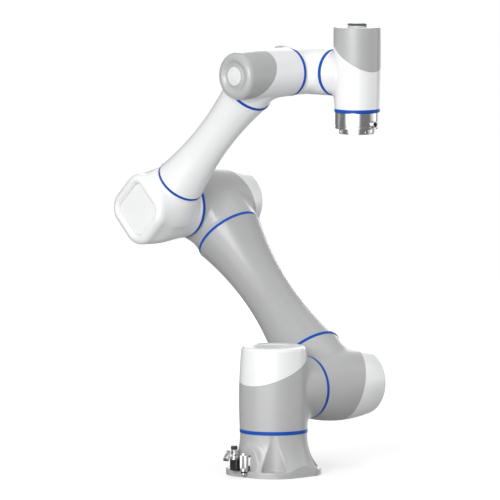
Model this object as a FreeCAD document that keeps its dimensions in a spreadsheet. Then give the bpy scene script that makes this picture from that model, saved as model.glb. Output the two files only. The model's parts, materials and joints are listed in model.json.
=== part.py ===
import FreeCAD, Part
import math
import os
import re

import Sketcher
from FreeCAD import Placement, Rotation, Vector

# Six-axis collaborative robot arm. Origin: centre of the base's mounting face.
# +Z is up, +Y runs along the shoulder and elbow axes, +X along the wrist 2 axis at rest.
# Every actuator module is drawn in its own frame: z along the actuator from its output ring
# (negative z) to its end cap (positive z), x along its side port, origin where the two cross.

# alias, value (mm or degrees), meaning
DIMENSIONS = [
    ("shoulder_height", 147, "mounting face to shoulder axis"),
    ("upper_arm_length", 427, "shoulder axis to elbow axis"),
    ("forearm_length", 357, "elbow axis to wrist 1 axis"),
    ("wrist_offset", 141, "base axis to wrist 2 axis, along Y"),
    ("wrist_length", 116, "wrist 1 axis to wrist 3 axis"),
    ("tool_reach", 105, "wrist 2 axis to tool face"),
    ("arm_plane", 137.2, "base axis to upper arm centreline, along Y"),
    ("forearm_plane", 20.2, "base axis to forearm centreline, along Y"),
    ("upper_arm_tilt", 45, "upper arm from vertical, towards -X"),
    ("forearm_tilt", 45, "forearm from vertical, towards +X"),
    ("band", 6, "width of an accent ring"),
    ("band_depth", 4, "radial thickness of an accent ring"),
    ("joint_gap", 0.5, "running gap between a ring and the next link"),
    ("seam", 0.3, "gap of a cover seam"),
    ("hub_clearance", 0.5, "radial gap between a hub and the housing lip"),
    ("journal_gap", 0.05, "radial running clearance of an output bearing"),
    ("air_gap", 0.6, "radial gap between rotor and stator"),
    ("tooth_gap", 0.4, "radial gap between flexspline cup and circular spline"),
    ("cup_wall", 2, "flexspline cup wall"),
    ("cup_floor", 4, "how far the hub's disc stops short of the bearing's end"),
    ("web", 6, "end wall of a port that carries an output hub"),
    ("port_start", 8, "first radius of a port's hollow, outside the motor seat"),
    ("crease_start", 5, "least reach along the port of the creases that a blend fills"),
    ("passage_radius", 12, "cable passage through a port"),
    ("shaft_gap", 2, "radial gap round a motor shaft"),
    ("overrun", 1, "how far a cut runs past the face it opens"),
    ("board_thickness", 1.6, "drive board"),
    ("encoder_height", 6, "encoder ring on the drive board"),
    ("encoder_width", 6, "encoder ring on the drive board"),
    ("far", 200, "half size of the cutting shapes"),
    # base casting
    ("flange_side", 150, "rounded-square mounting flange, across flats"),
    ("flange_corner", 54, "corner radius of the flange"),
    ("flange_thickness", 11, "mounting flange"),
    ("foot_radius", 84, "radius of the neck where it runs into the flange"),
    ("foot_height", 56, "height of the neck's flare above the flange"),
    ("neck_flare", 70, "radius of curvature of the flare"),
    ("neck_radius", 59.6, "neck at the top of the flare"),
    ("bolt_pocket_radius", 22, "vertical pocket over each mounting bolt"),
    ("bolt_pocket_centre", 81, "base axis to pocket axis"),
    ("bolt_circle_radius", 70, "base axis to mounting bolt"),
    ("bolt_hole_radius", 4.5, "mounting hole for M8"),
    ("base_cavity_radius", 44, "hollow of the base casting"),
    ("base_lid_radius", 47, "recess for the base plate"),
    ("base_lid_thickness", 3, "base plate"),
    ("boss_width", 52, "oval connector boss, along X"),
    ("boss_low", 9, "bottom of the connector boss"),
    ("boss_high", 56, "top of the connector boss"),
    ("boss_face", 68, "base axis to the face of the connector boss"),
    # connectors on the boss
    ("contact_gap", 0.3, "gap between pieces that stand side by side"),
    ("power_x", -15, "centre of the power connector"),
    ("power_block_width", 18, "socket block, along X"),
    ("power_block_depth", 18, "socket block, along Y"),
    ("power_block_high", 32, "top of the socket block"),
    ("power_neck_y", 83, "base axis to the neck's axis"),
    ("power_neck_radius", 7.5, "neck above the socket block"),
    ("power_neck_high", 49, "top of the neck"),
    ("power_knob_radius", 5.6, "knob on the neck"),
    ("power_knob_high", 55.3, "top of the knob"),
    ("lug_width", 6, "lug that carries the latch's pin"),
    ("lug_height", 7, "lug that carries the latch's pin"),
    ("lug_reach", 2, "how far the lug reaches past the pin's axis"),
    ("latch_pivot_y", 94, "base axis to the latch's pin"),
    ("latch_pivot_z", 45, "height of the latch's pin"),
    ("latch_pin_radius", 1.5, "latch's pin"),
    ("latch_width", 12, "latch and its pin, along X"),
    ("latch_eye", 3.4, "radius of the latch around its pin"),
    ("latch_fork_radius", 4.6, "clearance for the lug between the latch's cheeks"),
    ("latch_out", 11, "pin to the latch's tip, outwards"),
    ("latch_down", 15, "pin to the latch's tip, downwards"),
    ("latch_thickness", 3, "thickness of the latch's arm"),
    ("signal_x", 6.5, "centre of the signal connector"),
    ("signal_y", 80.8, "base axis to the signal connector's axis"),
    ("signal_radius", 7.3, "ribbed body of the signal connector"),
    ("signal_low", 11.3, "bottom of the ribbed body"),
    ("signal_high", 44, "top of the ribbed body"),
    ("signal_end_radius", 5.4, "round end below the ribbed body"),
    ("signal_end_low", 4.6, "bottom of the round end"),
    ("signal_plate_width", 13, "plate on the boss, along X"),
    ("signal_plate_low", 13, "bottom of the plate"),
    ("signal_plate_high", 41, "top of the plate"),
    ("signal_plate_depth", 2, "plate on the boss, along Y"),
    ("signal_stem_width", 6, "stem between plate and body, along X"),
    ("signal_stem_low", 20, "bottom of the stem"),
    ("signal_stem_high", 36, "top of the stem"),
    # arm tubes
    ("shoulder_collar", 69.4, "shoulder axis to the lower collar of the upper arm"),
    ("elbow_collar", 76.6, "elbow axis to the upper collar of the upper arm"),
    ("upper_arm_end_radius", 61, "upper arm tube at its collars"),
    ("upper_arm_waist", 18.1, "how far the upper arm tube draws in at its middle"),
    ("forearm_collar", 70.1, "elbow axis to the lower collar of the forearm"),
    ("wrist_collar", 46.5, "wrist 1 axis to the upper collar of the forearm"),
    ("forearm_low_radius", 44, "forearm tube at the elbow"),
    ("forearm_high_radius", 42.8, "forearm tube at the wrist"),
    ("forearm_waist", 10.5, "how far the forearm tube draws in at its middle"),
    ("tube_wall", 5, "wall of both arm tubes"),
    ("collar_band", 5, "width of the accent collars on the tubes"),
    # elbow casting
    ("elbow_lid_reach", 64, "forearm centreline to the elbow's outer face"),
    ("elbow_mid_reach", 20, "forearm centreline to the elbow's widest section"),
    ("elbow_mid_side", 59, "half side of the widest section"),
    ("elbow_mid_corner", 48, "corner radius of the widest section"),
    ("elbow_face_side", 55, "half side where the bevelled edge starts"),
    ("elbow_face_corner", 36, "corner radius where the bevelled edge starts"),
    ("elbow_joint_flat", 0.5, "straight left on the joint end's section, so that it lofts"),
    ("elbow_edge", 14, "radius that the outer face's bevels follow"),
    ("bevel_share", 0.9, "share of that radius the outer face draws in"),
    ("elbow_cavity_radius", 40, "hollow of the elbow casting"),
    ("elbow_recess_side", 36, "half side of the lid recess"),
    ("elbow_recess_corner", 14, "corner radius of the lid recess"),
    ("elbow_recess_depth", 10, "depth of the lid recess"),
    ("elbow_ledge", 4, "ledge that the elbow's lid rests on"),
    ("elbow_ledge_depth", 10, "thickness of the casting behind the lid's ledge"),
    ("elbow_lid_thickness", 2.5, "inspection lid of the elbow"),
    # tool flange, ISO 9409-1-50-4-M6
    ("flange_body_radius", 38.7, "machined body of the tool flange"),
    ("flange_pilot_radius", 31.5, "outer pilot"),
    ("flange_pilot_height", 9, "outer pilot"),
    ("flange_centre_radius", 15.75, "centring bore"),
    ("flange_centre_depth", 6.5, "centring bore"),
    ("flange_bolt_circle", 25, "radius of the bolt circle"),
    ("flange_bolt_radius", 3, "M6 threaded hole"),
    ("flange_bolt_depth", 10, "M6 threaded hole"),
    ("tool_plug_drop", 87, "wrist 2 axis to the tool connector's axis"),
    ("tool_plug_radius", 6, "seat of the tool connector"),
    ("tool_plug_gap", 0.1, "radial gap between the tool connector and its seat"),
    ("tool_plug_out", 6, "how far the tool connector stands out of the flange"),
    ("tool_plug_in", 4, "how deep the tool connector sits in the flange"),
    ("tool_socket_radius", 4, "socket of the tool connector"),
    ("tool_socket_depth", 5, "socket of the tool connector"),
]

# Sizes that each of the six actuator modules has.
MODULE_SIZES = (
    "ring_reach", "cap_reach", "ring_radius", "barrel_radius", "end_radius", "edge_round",
    "port_radius", "split_height", "split_slope", "dish_radius", "dish_depth",
)
MODULES = {
    "base_joint": (69.2, 79.4, 59.6, 60.8, 57.2, 7, 56, 40.3, 0.46, 30, 1.5),
    "shoulder": (56.4, 91, 55.5, 64.8, 60, 13, 60.5, 43, 0.39, 30, 1.5),
    "elbow": (66, 88, 57.4, 63.4, 57.3, 13, 60, 41, 0.42, 30, 1.5),
    "wrist_1": (65.6, 70.5, 42.4, 43.8, 42, 11, 42, 28.4, 0.62, 24, 3),
    "wrist_2": (62.8, 75, 41.7, 42.5, 42, 8, 41.5, 38, 0.6, 24, 3),
    "wrist_3": (63.8, 83.5, 39.8, 41.4, 41.5, 2.5, 41, 33.9, 0.684, 26, 3),
}

# Inner parts: one set of sizes for the three large modules, one for the three small ones.
INNER_SIZES = (
    "hub_radius", "seat_radius", "cavity_radius", "lip", "bearing_end", "spline_end",
    "cup_radius", "stator_start", "stator_end", "rotor_radius", "plug_radius", "plug_start",
    "shaft_radius", "shaft_bore", "shaft_end", "seat_end", "board_radius", "cap_wall",
    "hub_bore",
)
INNER = {
    "large": (38, 47, 50.5, 8, 22, 34, 33, 40, 64, 30, 30.2, 25, 13, 9, 84, 68, 49.5, 5, 14),
    "small": (28, 34.5, 36.5, 7, 17, 26, 25, 30, 50, 21.5, 22.2, 20, 9, 6, 62, 54, 36, 4.5, 10),
}
FAMILY = {
    "base_joint": "large", "shoulder": "large", "elbow": "large",
    "wrist_1": "small", "wrist_2": "small", "wrist_3": "small",
}
BADGES = {"wrist_1": (16.5, 2.1, 0.5), "wrist_2": (16.5, 2.1, 0.5), "wrist_3": (20.4, 8.6, 2)}
BADGE_SIZES = ("badge_radius", "badge_thickness", "badge_crown")


def make_sheet(doc):
    """Put every driving dimension in the spreadsheet, with its alias beside it."""
    rows = list(DIMENSIONS)
    for module, sizes in MODULES.items():
        rows += [(f"{module}_{name}", size, name) for name, size in zip(MODULE_SIZES, sizes)]
    for family, sizes in INNER.items():
        rows += [(f"{family}_{name}", size, name) for name, size in zip(INNER_SIZES, sizes)]
    for module, sizes in BADGES.items():
        rows += [(f"{module}_{name}", size, name) for name, size in zip(BADGE_SIZES, sizes)]
    made = doc.addObject("Spreadsheet::Sheet", "dims")
    for number, (alias, size, meaning) in enumerate(rows, 1):
        made.set(f"A{number}", meaning)
        made.set(f"B{number}", str(size))
        made.setAlias(f"B{number}", alias)
    doc.recompute()
    return made, {row[0] for row in rows}


doc = FreeCAD.newDocument("robot_arm")
sheet, ALIASES = make_sheet(doc)
parts = []


def bound(expression):
    """The expression with each alias written as a cell of the sheet."""
    return re.sub(r"[a-z_]+[0-9]?[a-z_]*", lambda m: f"dims.{m[0]}" if m[0] in ALIASES else m[0],
                  str(expression))


def size_of(expression):
    """The expression's value now."""
    return float(sheet.evalExpression(bound(expression)))


def new_body(label):
    body = doc.addObject("PartDesign::Body", label)
    body.Label = label
    parts.append(body)
    return body


def new_sketch(body, role, name, height="0"):
    """A sketch on one of the body's own origin planes, raised along the plane's normal."""
    plane = next(f for f in body.Origin.OriginFeatures if f.Role == role)
    sketch = body.newObject("Sketcher::SketchObject", f"{body.Label}_{name}")
    sketch.AttachmentSupport = [(plane, "")]
    sketch.MapMode = "FlatFace"
    if height != "0":
        sketch.setExpression("AttachmentOffset.Base.z", bound(height))
    return sketch


def arc_between(start, end, radius):
    """An arc from start to end that bulges to the right of the way, or left if radius < 0."""
    middle = (start + end) * 0.5
    way = end - start
    side = Vector(way.y, -way.x, 0).normalize() * math.copysign(1, radius)
    sink = math.sqrt(max(radius * radius - way.Length ** 2 / 4, 0))
    centre = middle - side * sink
    return Part.Arc(start, centre + side * abs(radius), end)


def draw_outline(sketch, corners):
    """A closed outline. Each corner is (x, y), or (x, y, radius) where an arc leaves it."""
    points = [Vector(size_of(c[0]), size_of(c[1]), 0) for c in corners]
    first = sketch.GeometryCount
    count = len(corners)
    starts = []
    for i, corner in enumerate(corners):
        start = points[i]
        end = points[(i + 1) % count]
        if len(corner) == 3:
            edge = arc_between(start, end, size_of(corner[2]))
        else:
            edge = Part.LineSegment(start, end)
        index = sketch.addGeometry(edge, False)
        starts.append(1 if (sketch.getPoint(index, 1) - start).Length < 1e-4 else 2)
    for i, corner in enumerate(corners):
        following = (i + 1) % count
        sketch.addConstraint(Sketcher.Constraint(
            "Coincident", first + i, 3 - starts[i], first + following, starts[following]))
        for kind, expression in (("DistanceX", corner[0]), ("DistanceY", corner[1])):
            index = sketch.addConstraint(Sketcher.Constraint(
                kind, -1, 1, first + i, starts[i], size_of(expression)))
            sketch.setExpression(f"Constraints[{index}]", bound(expression))
        if len(corner) == 3:
            index = sketch.addConstraint(Sketcher.Constraint(
                "Radius", first + i, abs(size_of(corner[2]))))
            sketch.setExpression(f"Constraints[{index}]", f"abs({bound(corner[2])})")


def draw_circle(sketch, radius, x="0", y="0"):
    centre = Vector(size_of(x), size_of(y), 0)
    index = sketch.addGeometry(Part.Circle(centre, Vector(0, 0, 1), size_of(radius)), False)
    for kind, expression in (("DistanceX", x), ("DistanceY", y)):
        place = sketch.addConstraint(Sketcher.Constraint(
            kind, -1, 1, index, 3, size_of(expression)))
        sketch.setExpression(f"Constraints[{place}]", bound(expression))
    wide = sketch.addConstraint(Sketcher.Constraint("Radius", index, size_of(radius)))
    sketch.setExpression(f"Constraints[{wide}]", bound(radius))


def rounded_square(side, corner):
    """Corners of a square of half size side, rounded with radius corner, anticlockwise."""
    flat = f"({side}) - ({corner})"
    near = f"-({flat})"
    return [
        (near, f"-({side})"), (flat, f"-({side})", corner),
        (side, near), (side, flat, corner),
        (flat, side), (near, side, corner),
        (f"-({side})", flat), (f"-({side})", near, corner),
    ]


def settle(feature):
    """Recompute, and stop where the feature failed."""
    doc.recompute()
    assert not {"Invalid", "Error"} & set(feature.State), f"{feature.Name}: {feature.State}"
    return feature


def turn(body, name, corners, cut=False, axis="V_Axis"):
    """Turn an outline, drawn in the XZ plane, about one of the sketch's axes."""
    sketch = new_sketch(body, "XZ_Plane", f"{name}_outline")
    draw_outline(sketch, corners)
    kind = "PartDesign::Groove" if cut else "PartDesign::Revolution"
    feature = body.newObject(kind, f"{body.Label}_{name}")
    feature.Profile = sketch
    feature.ReferenceAxis = (sketch, [axis])
    feature.Angle = 360
    return settle(feature)


def pad(body, name, sketch, length):
    feature = body.newObject("PartDesign::Pad", f"{body.Label}_{name}")
    feature.Profile = sketch
    feature.setExpression("Length", bound(length))
    return settle(feature)


def pocket(body, name, sketch, depth=None, side="One side", reverse=False):
    """Cut the sketch's shape to a depth, or through the whole body where none is given."""
    before = body.Shape.Volume
    feature = body.newObject("PartDesign::Pocket", f"{body.Label}_{name}")
    feature.Profile = sketch
    feature.Type = "Length" if depth else "ThroughAll"
    if depth:
        feature.setExpression("Length", bound(depth))
    feature.SideType = side
    feature.Reversed = reverse
    settle(feature)
    assert feature.Shape.Volume < before - 1, f"{feature.Name} cuts nothing"
    return feature


def repeat_round(body, feature, count):
    """Repeat a feature about the body's z axis."""
    pattern = body.newObject("PartDesign::PolarPattern", f"{feature.Name}_pattern")
    pattern.Originals = [feature]
    z_axis = next(f for f in body.Origin.OriginFeatures if f.Role == "Z_Axis")
    pattern.Axis = (z_axis, [""])
    pattern.Angle = 360
    pattern.Occurrences = count
    body.Tip = pattern
    settle(pattern)


def frame_at(origin, z_axis, x_axis):
    """A placement whose z and x axes are the ones given."""
    return Placement(origin, Rotation(x_axis, z_axis.cross(x_axis), z_axis, "ZXY"))


def rest_frames():
    """Where each module stands at rest."""
    upper = math.radians(size_of("upper_arm_tilt"))
    fore = math.radians(size_of("forearm_tilt"))
    up_arm = Vector(-math.sin(upper), 0, math.cos(upper))
    up_fore = Vector(math.sin(fore), 0, math.cos(fore))
    x_way = Vector(1, 0, 0)
    y_way = Vector(0, 1, 0)
    z_way = Vector(0, 0, 1)
    shoulder = z_way * size_of("shoulder_height")
    elbow = shoulder + up_arm * size_of("upper_arm_length")
    wrist = elbow + up_fore * size_of("forearm_length")
    arm_side = y_way * size_of("arm_plane")
    forearm_side = y_way * size_of("forearm_plane")
    wrist_2 = wrist + y_way * size_of("wrist_offset")
    wrist_3 = wrist_2 + x_way * size_of("wrist_length")
    latch_pin = Vector(size_of("power_x"), -size_of("latch_pivot_y"), size_of("latch_pivot_z"))
    plug_reach = x_way * size_of("flange_body_radius - tool_plug_in")
    plug_seat = wrist_3 + plug_reach - z_way * size_of("tool_plug_drop")
    return {
        "latch": frame_at(latch_pin, x_way, -y_way),
        "tool_plug": frame_at(plug_seat, x_way, y_way),
        "base_joint": frame_at(shoulder, z_way, y_way),
        "shoulder": frame_at(shoulder + arm_side, y_way, up_arm),
        "upper_arm": frame_at(shoulder + arm_side, up_arm, y_way),
        "elbow": frame_at(elbow + arm_side, y_way, -up_arm),
        "elbow_casting": frame_at(elbow + forearm_side, -y_way, up_fore),
        "forearm": frame_at(elbow + forearm_side, up_fore, -y_way),
        "wrist_1": frame_at(wrist + forearm_side, -y_way, -up_fore),
        "wrist_2": frame_at(wrist_2, -x_way, -y_way),
        "wrist_3": frame_at(wrist_3, z_way, -x_way),
    }


def place(body, frame):
    body.Placement = FRAMES[frame]


def crease_edges(shape, reach):
    """Names of the edges where a port meets the barrel, all further out than reach."""
    return [f"Edge{i}" for i, edge in enumerate(shape.Edges, 1)
            if edge.Curve.TypeId == "Part::GeomBSplineCurve" and edge.BoundBox.XMax > reach]


def round_edges(body, name, feature, edges, radius):
    fillet = body.newObject("PartDesign::Fillet", f"{body.Label}_{name}")
    fillet.Base = (feature, edges)
    fillet.setExpression("Radius", bound(radius))
    return settle(fillet)


# Distance from an accent ring's middle to the face of the link that turns against it.
FACE = "(band / 2 + joint_gap)"


def barrel_outline(m):
    """Outer form of a module, from its ring to its dished end."""
    ring = f"-{m}_ring_reach + band / 2"
    top = f"{m}_cap_reach"
    length = f"({m}_cap_reach + {m}_ring_reach - band / 2 - {m}_edge_round)"
    bulge = f"({m}_barrel_radius - ({m}_ring_radius + {m}_end_radius) / 2)"
    crown = f"({length} * {length} / 4 + {bulge} * {bulge}) / (2 * {bulge})"
    return [
        ("0", ring),
        (f"{m}_ring_radius", ring, crown),
        (f"{m}_end_radius", f"{top} - {m}_edge_round", f"{m}_edge_round"),
        (f"{m}_end_radius - {m}_edge_round", top),
        (f"{m}_dish_radius + {m}_dish_depth", top),
        (f"{m}_dish_radius", f"{top} - {m}_dish_depth"),
        ("0", f"{top} - {m}_dish_depth"),
    ]


def cavity_outline(m, f):
    """Stepped bore of a housing: hub opening, bearing and motor seat, then the hollow."""
    ring = f"-{m}_ring_reach"
    top = f"{m}_cap_reach - {m}_dish_depth - {f}_cap_wall"
    opening = f"{f}_hub_radius + hub_clearance"
    return [
        ("0", f"{ring} - band"),
        (opening, f"{ring} - band"),
        (opening, f"{ring} + {f}_lip"),
        (f"{f}_seat_radius", f"{ring} + {f}_lip"),
        (f"{f}_seat_radius", f"{ring} + {f}_seat_end"),
        (f"{f}_cavity_radius", f"{ring} + {f}_seat_end"),
        (f"{f}_cavity_radius", f"{m}_cap_reach - {m}_edge_round - {f}_cap_wall"),
        (f"{f}_cavity_radius - {m}_edge_round", top),
        ("0", top),
    ]


def cut_oblique(body, m, keep_cap):
    """Cut the barrel along the slanting seam between housing and end cap."""
    offset = "seam" if keep_cap else "0"
    line_low = f"{m}_split_height - {m}_split_slope * far + {offset}"
    line_high = f"{m}_split_height + {m}_split_slope * far + {offset}"
    end = "-far" if keep_cap else "far"
    sketch = new_sketch(body, "XZ_Plane", "seam")
    draw_outline(sketch, [("-far", line_low), ("far", line_high), ("far", end), ("-far", end)])
    pocket(body, "split", sketch, side="Symmetric")


def add_port(body, m, reach):
    """Side port: a round stub along x up to reach."""
    sketch = new_sketch(body, "YZ_Plane", "port")
    draw_circle(sketch, f"{m}_port_radius")
    return pad(body, "port_stub", sketch, reach)


def port_hollow(m, f, reach, web):
    """Hollow of a port, turned about the port's own axis; it stays open where web is None."""
    start = f"{f}_seat_radius + port_start"
    radius = f"{m}_port_radius - {f}_cap_wall"
    inner = f"{f}_shaft_radius + shaft_gap"
    open_end = f"{reach} + overrun"
    if web:
        end = [(open_end, "0"), (open_end, "passage_radius"),
               (f"{reach} - {web}", "passage_radius"), (f"{reach} - {web}", radius)]
    else:
        end = [(open_end, "0"), (open_end, radius)]
    return [(inner, "0")] + end + [
        (start, radius), (start, "passage_radius"), (inner, "passage_radius"),
    ]


def make_module(m, reach, web, blend):
    """The shells and the inner parts of one actuator module."""
    f = FAMILY[m]
    ring = f"-{m}_ring_reach"

    housing = new_body(f"{m}_housing")
    turn(housing, "barrel", barrel_outline(m))
    stub = add_port(housing, m, reach)
    if blend:
        creases = crease_edges(stub.Shape, size_of("crease_start"))
        round_edges(housing, "blend", stub, creases, blend)
    cut_oblique(housing, m, keep_cap=False)
    ring_face = f"{m}_ring_reach - band / 2"
    if size_of(f"{m}_port_radius - ({ring_face})") > 0:
        foot = new_sketch(housing, "XY_Plane", "foot", height=f"-({ring_face})")
        draw_circle(foot, "far")
        pocket(housing, "foot_cut", foot)
    turn(housing, "bore", cavity_outline(m, f), cut=True)
    turn(housing, "port_bore", port_hollow(m, f, reach, web), cut=True, axis="H_Axis")
    place(housing, m)

    cap = new_body(f"{m}_cap")
    turn(cap, "barrel", barrel_outline(m))
    cut_oblique(cap, m, keep_cap=True)
    turn(cap, "hollow", cavity_outline(m, f), cut=True)
    place(cap, m)

    accent = new_body(f"{m}_accent_ring")
    inner = f"{m}_ring_radius - band_depth"
    turn(accent, "band", [
        (inner, f"{ring} - band / 2"), (f"{m}_ring_radius", f"{ring} - band / 2"),
        (f"{m}_ring_radius", f"{ring} + band / 2"), (inner, f"{ring} + band / 2"),
    ])
    place(accent, m)

    bearing = new_body(f"{m}_gear_bearing")
    journal = f"{f}_hub_radius + journal_gap"
    teeth = f"{f}_cup_radius + tooth_gap"
    turn(bearing, "section", [
        (journal, f"{ring} + {f}_lip"), (f"{f}_seat_radius", f"{ring} + {f}_lip"),
        (f"{f}_seat_radius", f"{ring} + {f}_spline_end"), (teeth, f"{ring} + {f}_spline_end"),
        (teeth, f"{ring} + {f}_bearing_end"), (journal, f"{ring} + {f}_bearing_end"),
    ])
    place(bearing, m)

    stator = new_body(f"{m}_motor_stator")
    bore = f"{f}_rotor_radius + air_gap"
    turn(stator, "section", [
        (bore, f"{ring} + {f}_stator_start"), (f"{f}_seat_radius", f"{ring} + {f}_stator_start"),
        (f"{f}_seat_radius", f"{ring} + {f}_stator_end"), (bore, f"{ring} + {f}_stator_end"),
    ])
    place(stator, m)

    rotor = new_body(f"{m}_motor_rotor")
    shaft = f"{f}_shaft_radius"
    turn(rotor, "section", [
        (f"{f}_shaft_bore", f"{ring} + {f}_lip"), (shaft, f"{ring} + {f}_lip"),
        (shaft, f"{ring} + {f}_plug_start"), (f"{f}_plug_radius", f"{ring} + {f}_plug_start"),
        (f"{f}_plug_radius", f"{ring} + {f}_spline_end"), (shaft, f"{ring} + {f}_spline_end"),
        (shaft, f"{ring} + {f}_stator_start"), (f"{f}_rotor_radius", f"{ring} + {f}_stator_start"),
        (f"{f}_rotor_radius", f"{ring} + {f}_stator_end"), (shaft, f"{ring} + {f}_stator_end"),
        (shaft, f"{ring} + {f}_shaft_end"), (f"{f}_shaft_bore", f"{ring} + {f}_shaft_end"),
    ])
    place(rotor, m)

    board = new_body(f"{m}_drive_board")
    hole = f"{shaft} + shaft_gap"
    bottom = f"{ring} + {f}_seat_end"
    turn(board, "section", [
        (hole, bottom), (f"{f}_board_radius", bottom),
        (f"{f}_board_radius", f"{bottom} + board_thickness"),
        (f"{hole} + encoder_width", f"{bottom} + board_thickness"),
        (f"{hole} + encoder_width", f"{bottom} + encoder_height"),
        (hole, f"{bottom} + encoder_height"),
    ])
    place(board, m)


def make_hub(m):
    """Output hub and flexspline cup: it turns against the module and carries the next link."""
    f = FAMILY[m]
    ring = f"-{m}_ring_reach"
    disc = f"{ring} + {f}_bearing_end"
    hub = new_body(f"{m}_output_hub")
    turn(hub, "section", [
        (f"{f}_hub_bore", f"{ring} - {FACE}"), (f"{f}_hub_radius", f"{ring} - {FACE}"),
        (f"{f}_hub_radius", disc), (f"{f}_cup_radius", disc),
        (f"{f}_cup_radius", f"{ring} + {f}_spline_end"),
        (f"{f}_cup_radius - cup_wall", f"{ring} + {f}_spline_end"),
        (f"{f}_cup_radius - cup_wall", f"{disc} - cup_floor"),
        (f"{f}_hub_bore", f"{disc} - cup_floor"),
    ])
    place(hub, m)


def make_badge(m):
    """Plain crowned disc in the dish of a wrist cap."""
    floor = f"{m}_cap_reach - {m}_dish_depth"
    rim = f"{floor} + {m}_badge_thickness"
    crown = f"({m}_badge_radius * {m}_badge_radius + {m}_badge_crown * {m}_badge_crown)"
    badge = new_body(f"{m}_badge")
    turn(badge, "section", [
        ("0", floor), (f"{m}_badge_radius", floor),
        (f"{m}_badge_radius", rim, f"{crown} / (2 * {m}_badge_crown)"),
        ("0", f"{rim} + {m}_badge_crown"),
    ])
    place(badge, m)


def make_tube(label, start, end, low_radius, high_radius, waist):
    """Waisted arm tube between its two collars."""
    low = f"{start} + collar_band / 2"
    high = f"{end} - collar_band / 2"
    length = f"({high} - ({low}))"
    curve = f"({length} * {length} / 4 + {waist} * {waist}) / (2 * {waist})"
    tube = new_body(f"{label}_tube")
    turn(tube, "section", [
        (f"{low_radius} - tube_wall", low), (low_radius, low, f"-({curve})"),
        (high_radius, high), (f"{high_radius} - tube_wall", high, curve),
    ])
    place(tube, label)

    collars = new_body(f"{label}_accent_collars")
    collars.AllowCompound = True
    for name, middle, radius in (("low", start, low_radius), ("high", end, high_radius)):
        inner = f"{radius} - band_depth"
        bottom = f"{middle} - collar_band / 2"
        top = f"{middle} + collar_band / 2"
        turn(collars, name, [(inner, bottom), (radius, bottom), (radius, top), (inner, top)])
    place(collars, label)


def make_base():
    """Base casting: flared neck on a rounded-square flange, with four bolt pockets."""
    top = f"shoulder_height - base_joint_ring_reach - {FACE}"
    flare_top = "flange_thickness + foot_height"
    casting = new_body("base_casting")
    turn(casting, "neck", [
        ("0", "0"), ("foot_radius", "0"), ("foot_radius", "flange_thickness", "-neck_flare"),
        ("neck_radius", flare_top), ("neck_radius", top), ("0", top),
    ])
    outline = new_sketch(casting, "XY_Plane", "flange_outline")
    draw_outline(outline, rounded_square("flange_side / 2", "flange_corner"))
    draw_circle(outline, "far")
    pocket(casting, "flange_trim", outline, side="Symmetric")

    boss = new_sketch(casting, "XZ_Plane", "boss")
    radius = "boss_width / 2"
    draw_outline(boss, [
        ("boss_width / 2", "boss_low"), ("boss_width / 2", f"boss_high - {radius}", radius),
        ("0", "boss_high", radius), ("-boss_width / 2", f"boss_high - {radius}"),
        ("-boss_width / 2", "boss_low"),
    ])
    pad(casting, "connector_boss", boss, "boss_face")

    front = new_sketch(casting, "XZ_Plane", "boss_front", height="boss_face")
    draw_outline(front, [
        ("-boss_width / 2", "flange_thickness"), ("boss_width / 2", "flange_thickness"),
        ("boss_width / 2", "boss_high"), ("-boss_width / 2", "boss_high"),
    ])
    pocket(casting, "boss_front_cut", front, reverse=True)

    hollow = "base_cavity_radius"
    turn(casting, "hollow", [
        ("0", "-overrun"), ("base_lid_radius", "-overrun"),
        ("base_lid_radius", "base_lid_thickness"),
        (hollow, "base_lid_thickness"), (hollow, f"{top} - web"),
        ("passage_radius", f"{top} - web"), ("passage_radius", f"{top} + overrun"),
        ("0", f"{top} + overrun"),
    ], cut=True)

    pockets = new_sketch(casting, "XY_Plane", "bolt_pocket", height="flange_thickness")
    across = "bolt_pocket_centre * cos(45)"
    draw_circle(pockets, "bolt_pocket_radius", across, across)
    repeat_round(casting, pocket(casting, "bolt_pocket", pockets, reverse=True), 4)

    holes = new_sketch(casting, "XY_Plane", "bolt_hole")
    spread = "bolt_circle_radius * cos(45)"
    draw_circle(holes, "bolt_hole_radius", spread, spread)
    repeat_round(casting, pocket(casting, "bolt_hole", holes, reverse=True), 4)

    plate = new_body("base_plate")
    turn(plate, "disc", [
        ("0", "0"), ("base_lid_radius - seam", "0"),
        ("base_lid_radius - seam", "base_lid_thickness"), ("0", "base_lid_thickness"),
    ])


def primitive(kind, name, **sizes):
    """A Part primitive with its sizes bound to the sheet."""
    made = doc.addObject(f"Part::{kind}", name)
    for prop, expression in sizes.items():
        made.setExpression(prop.replace("_", "."), bound(expression))
    return made


def box_between(name, low, high):
    """A box from its lowest to its highest corner."""
    sizes = [f"({top}) - ({bottom})" for bottom, top in zip(low, high)]
    made = primitive("Box", name, Length=sizes[0], Width=sizes[1], Height=sizes[2])
    for axis, expression in zip("xyz", low):
        made.setExpression(f"Placement.Base.{axis}", bound(expression))
    return made


def cylinder_at(name, radius, height, base, axis):
    """A cylinder of that height from base along a direction."""
    made = primitive("Cylinder", name, Radius=radius, Height=height)
    made.Placement = Placement(Vector(), Rotation(Vector(0, 0, 1), axis))
    for letter, expression in zip("xyz", base):
        made.setExpression(f"Placement.Base.{letter}", bound(expression))
    return made


def fuse(label, shapes):
    """Part union that becomes a sub-part."""
    made = doc.addObject("Part::MultiFuse", label)
    made.Label = label
    made.Shapes = shapes
    parts.append(made)


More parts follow.
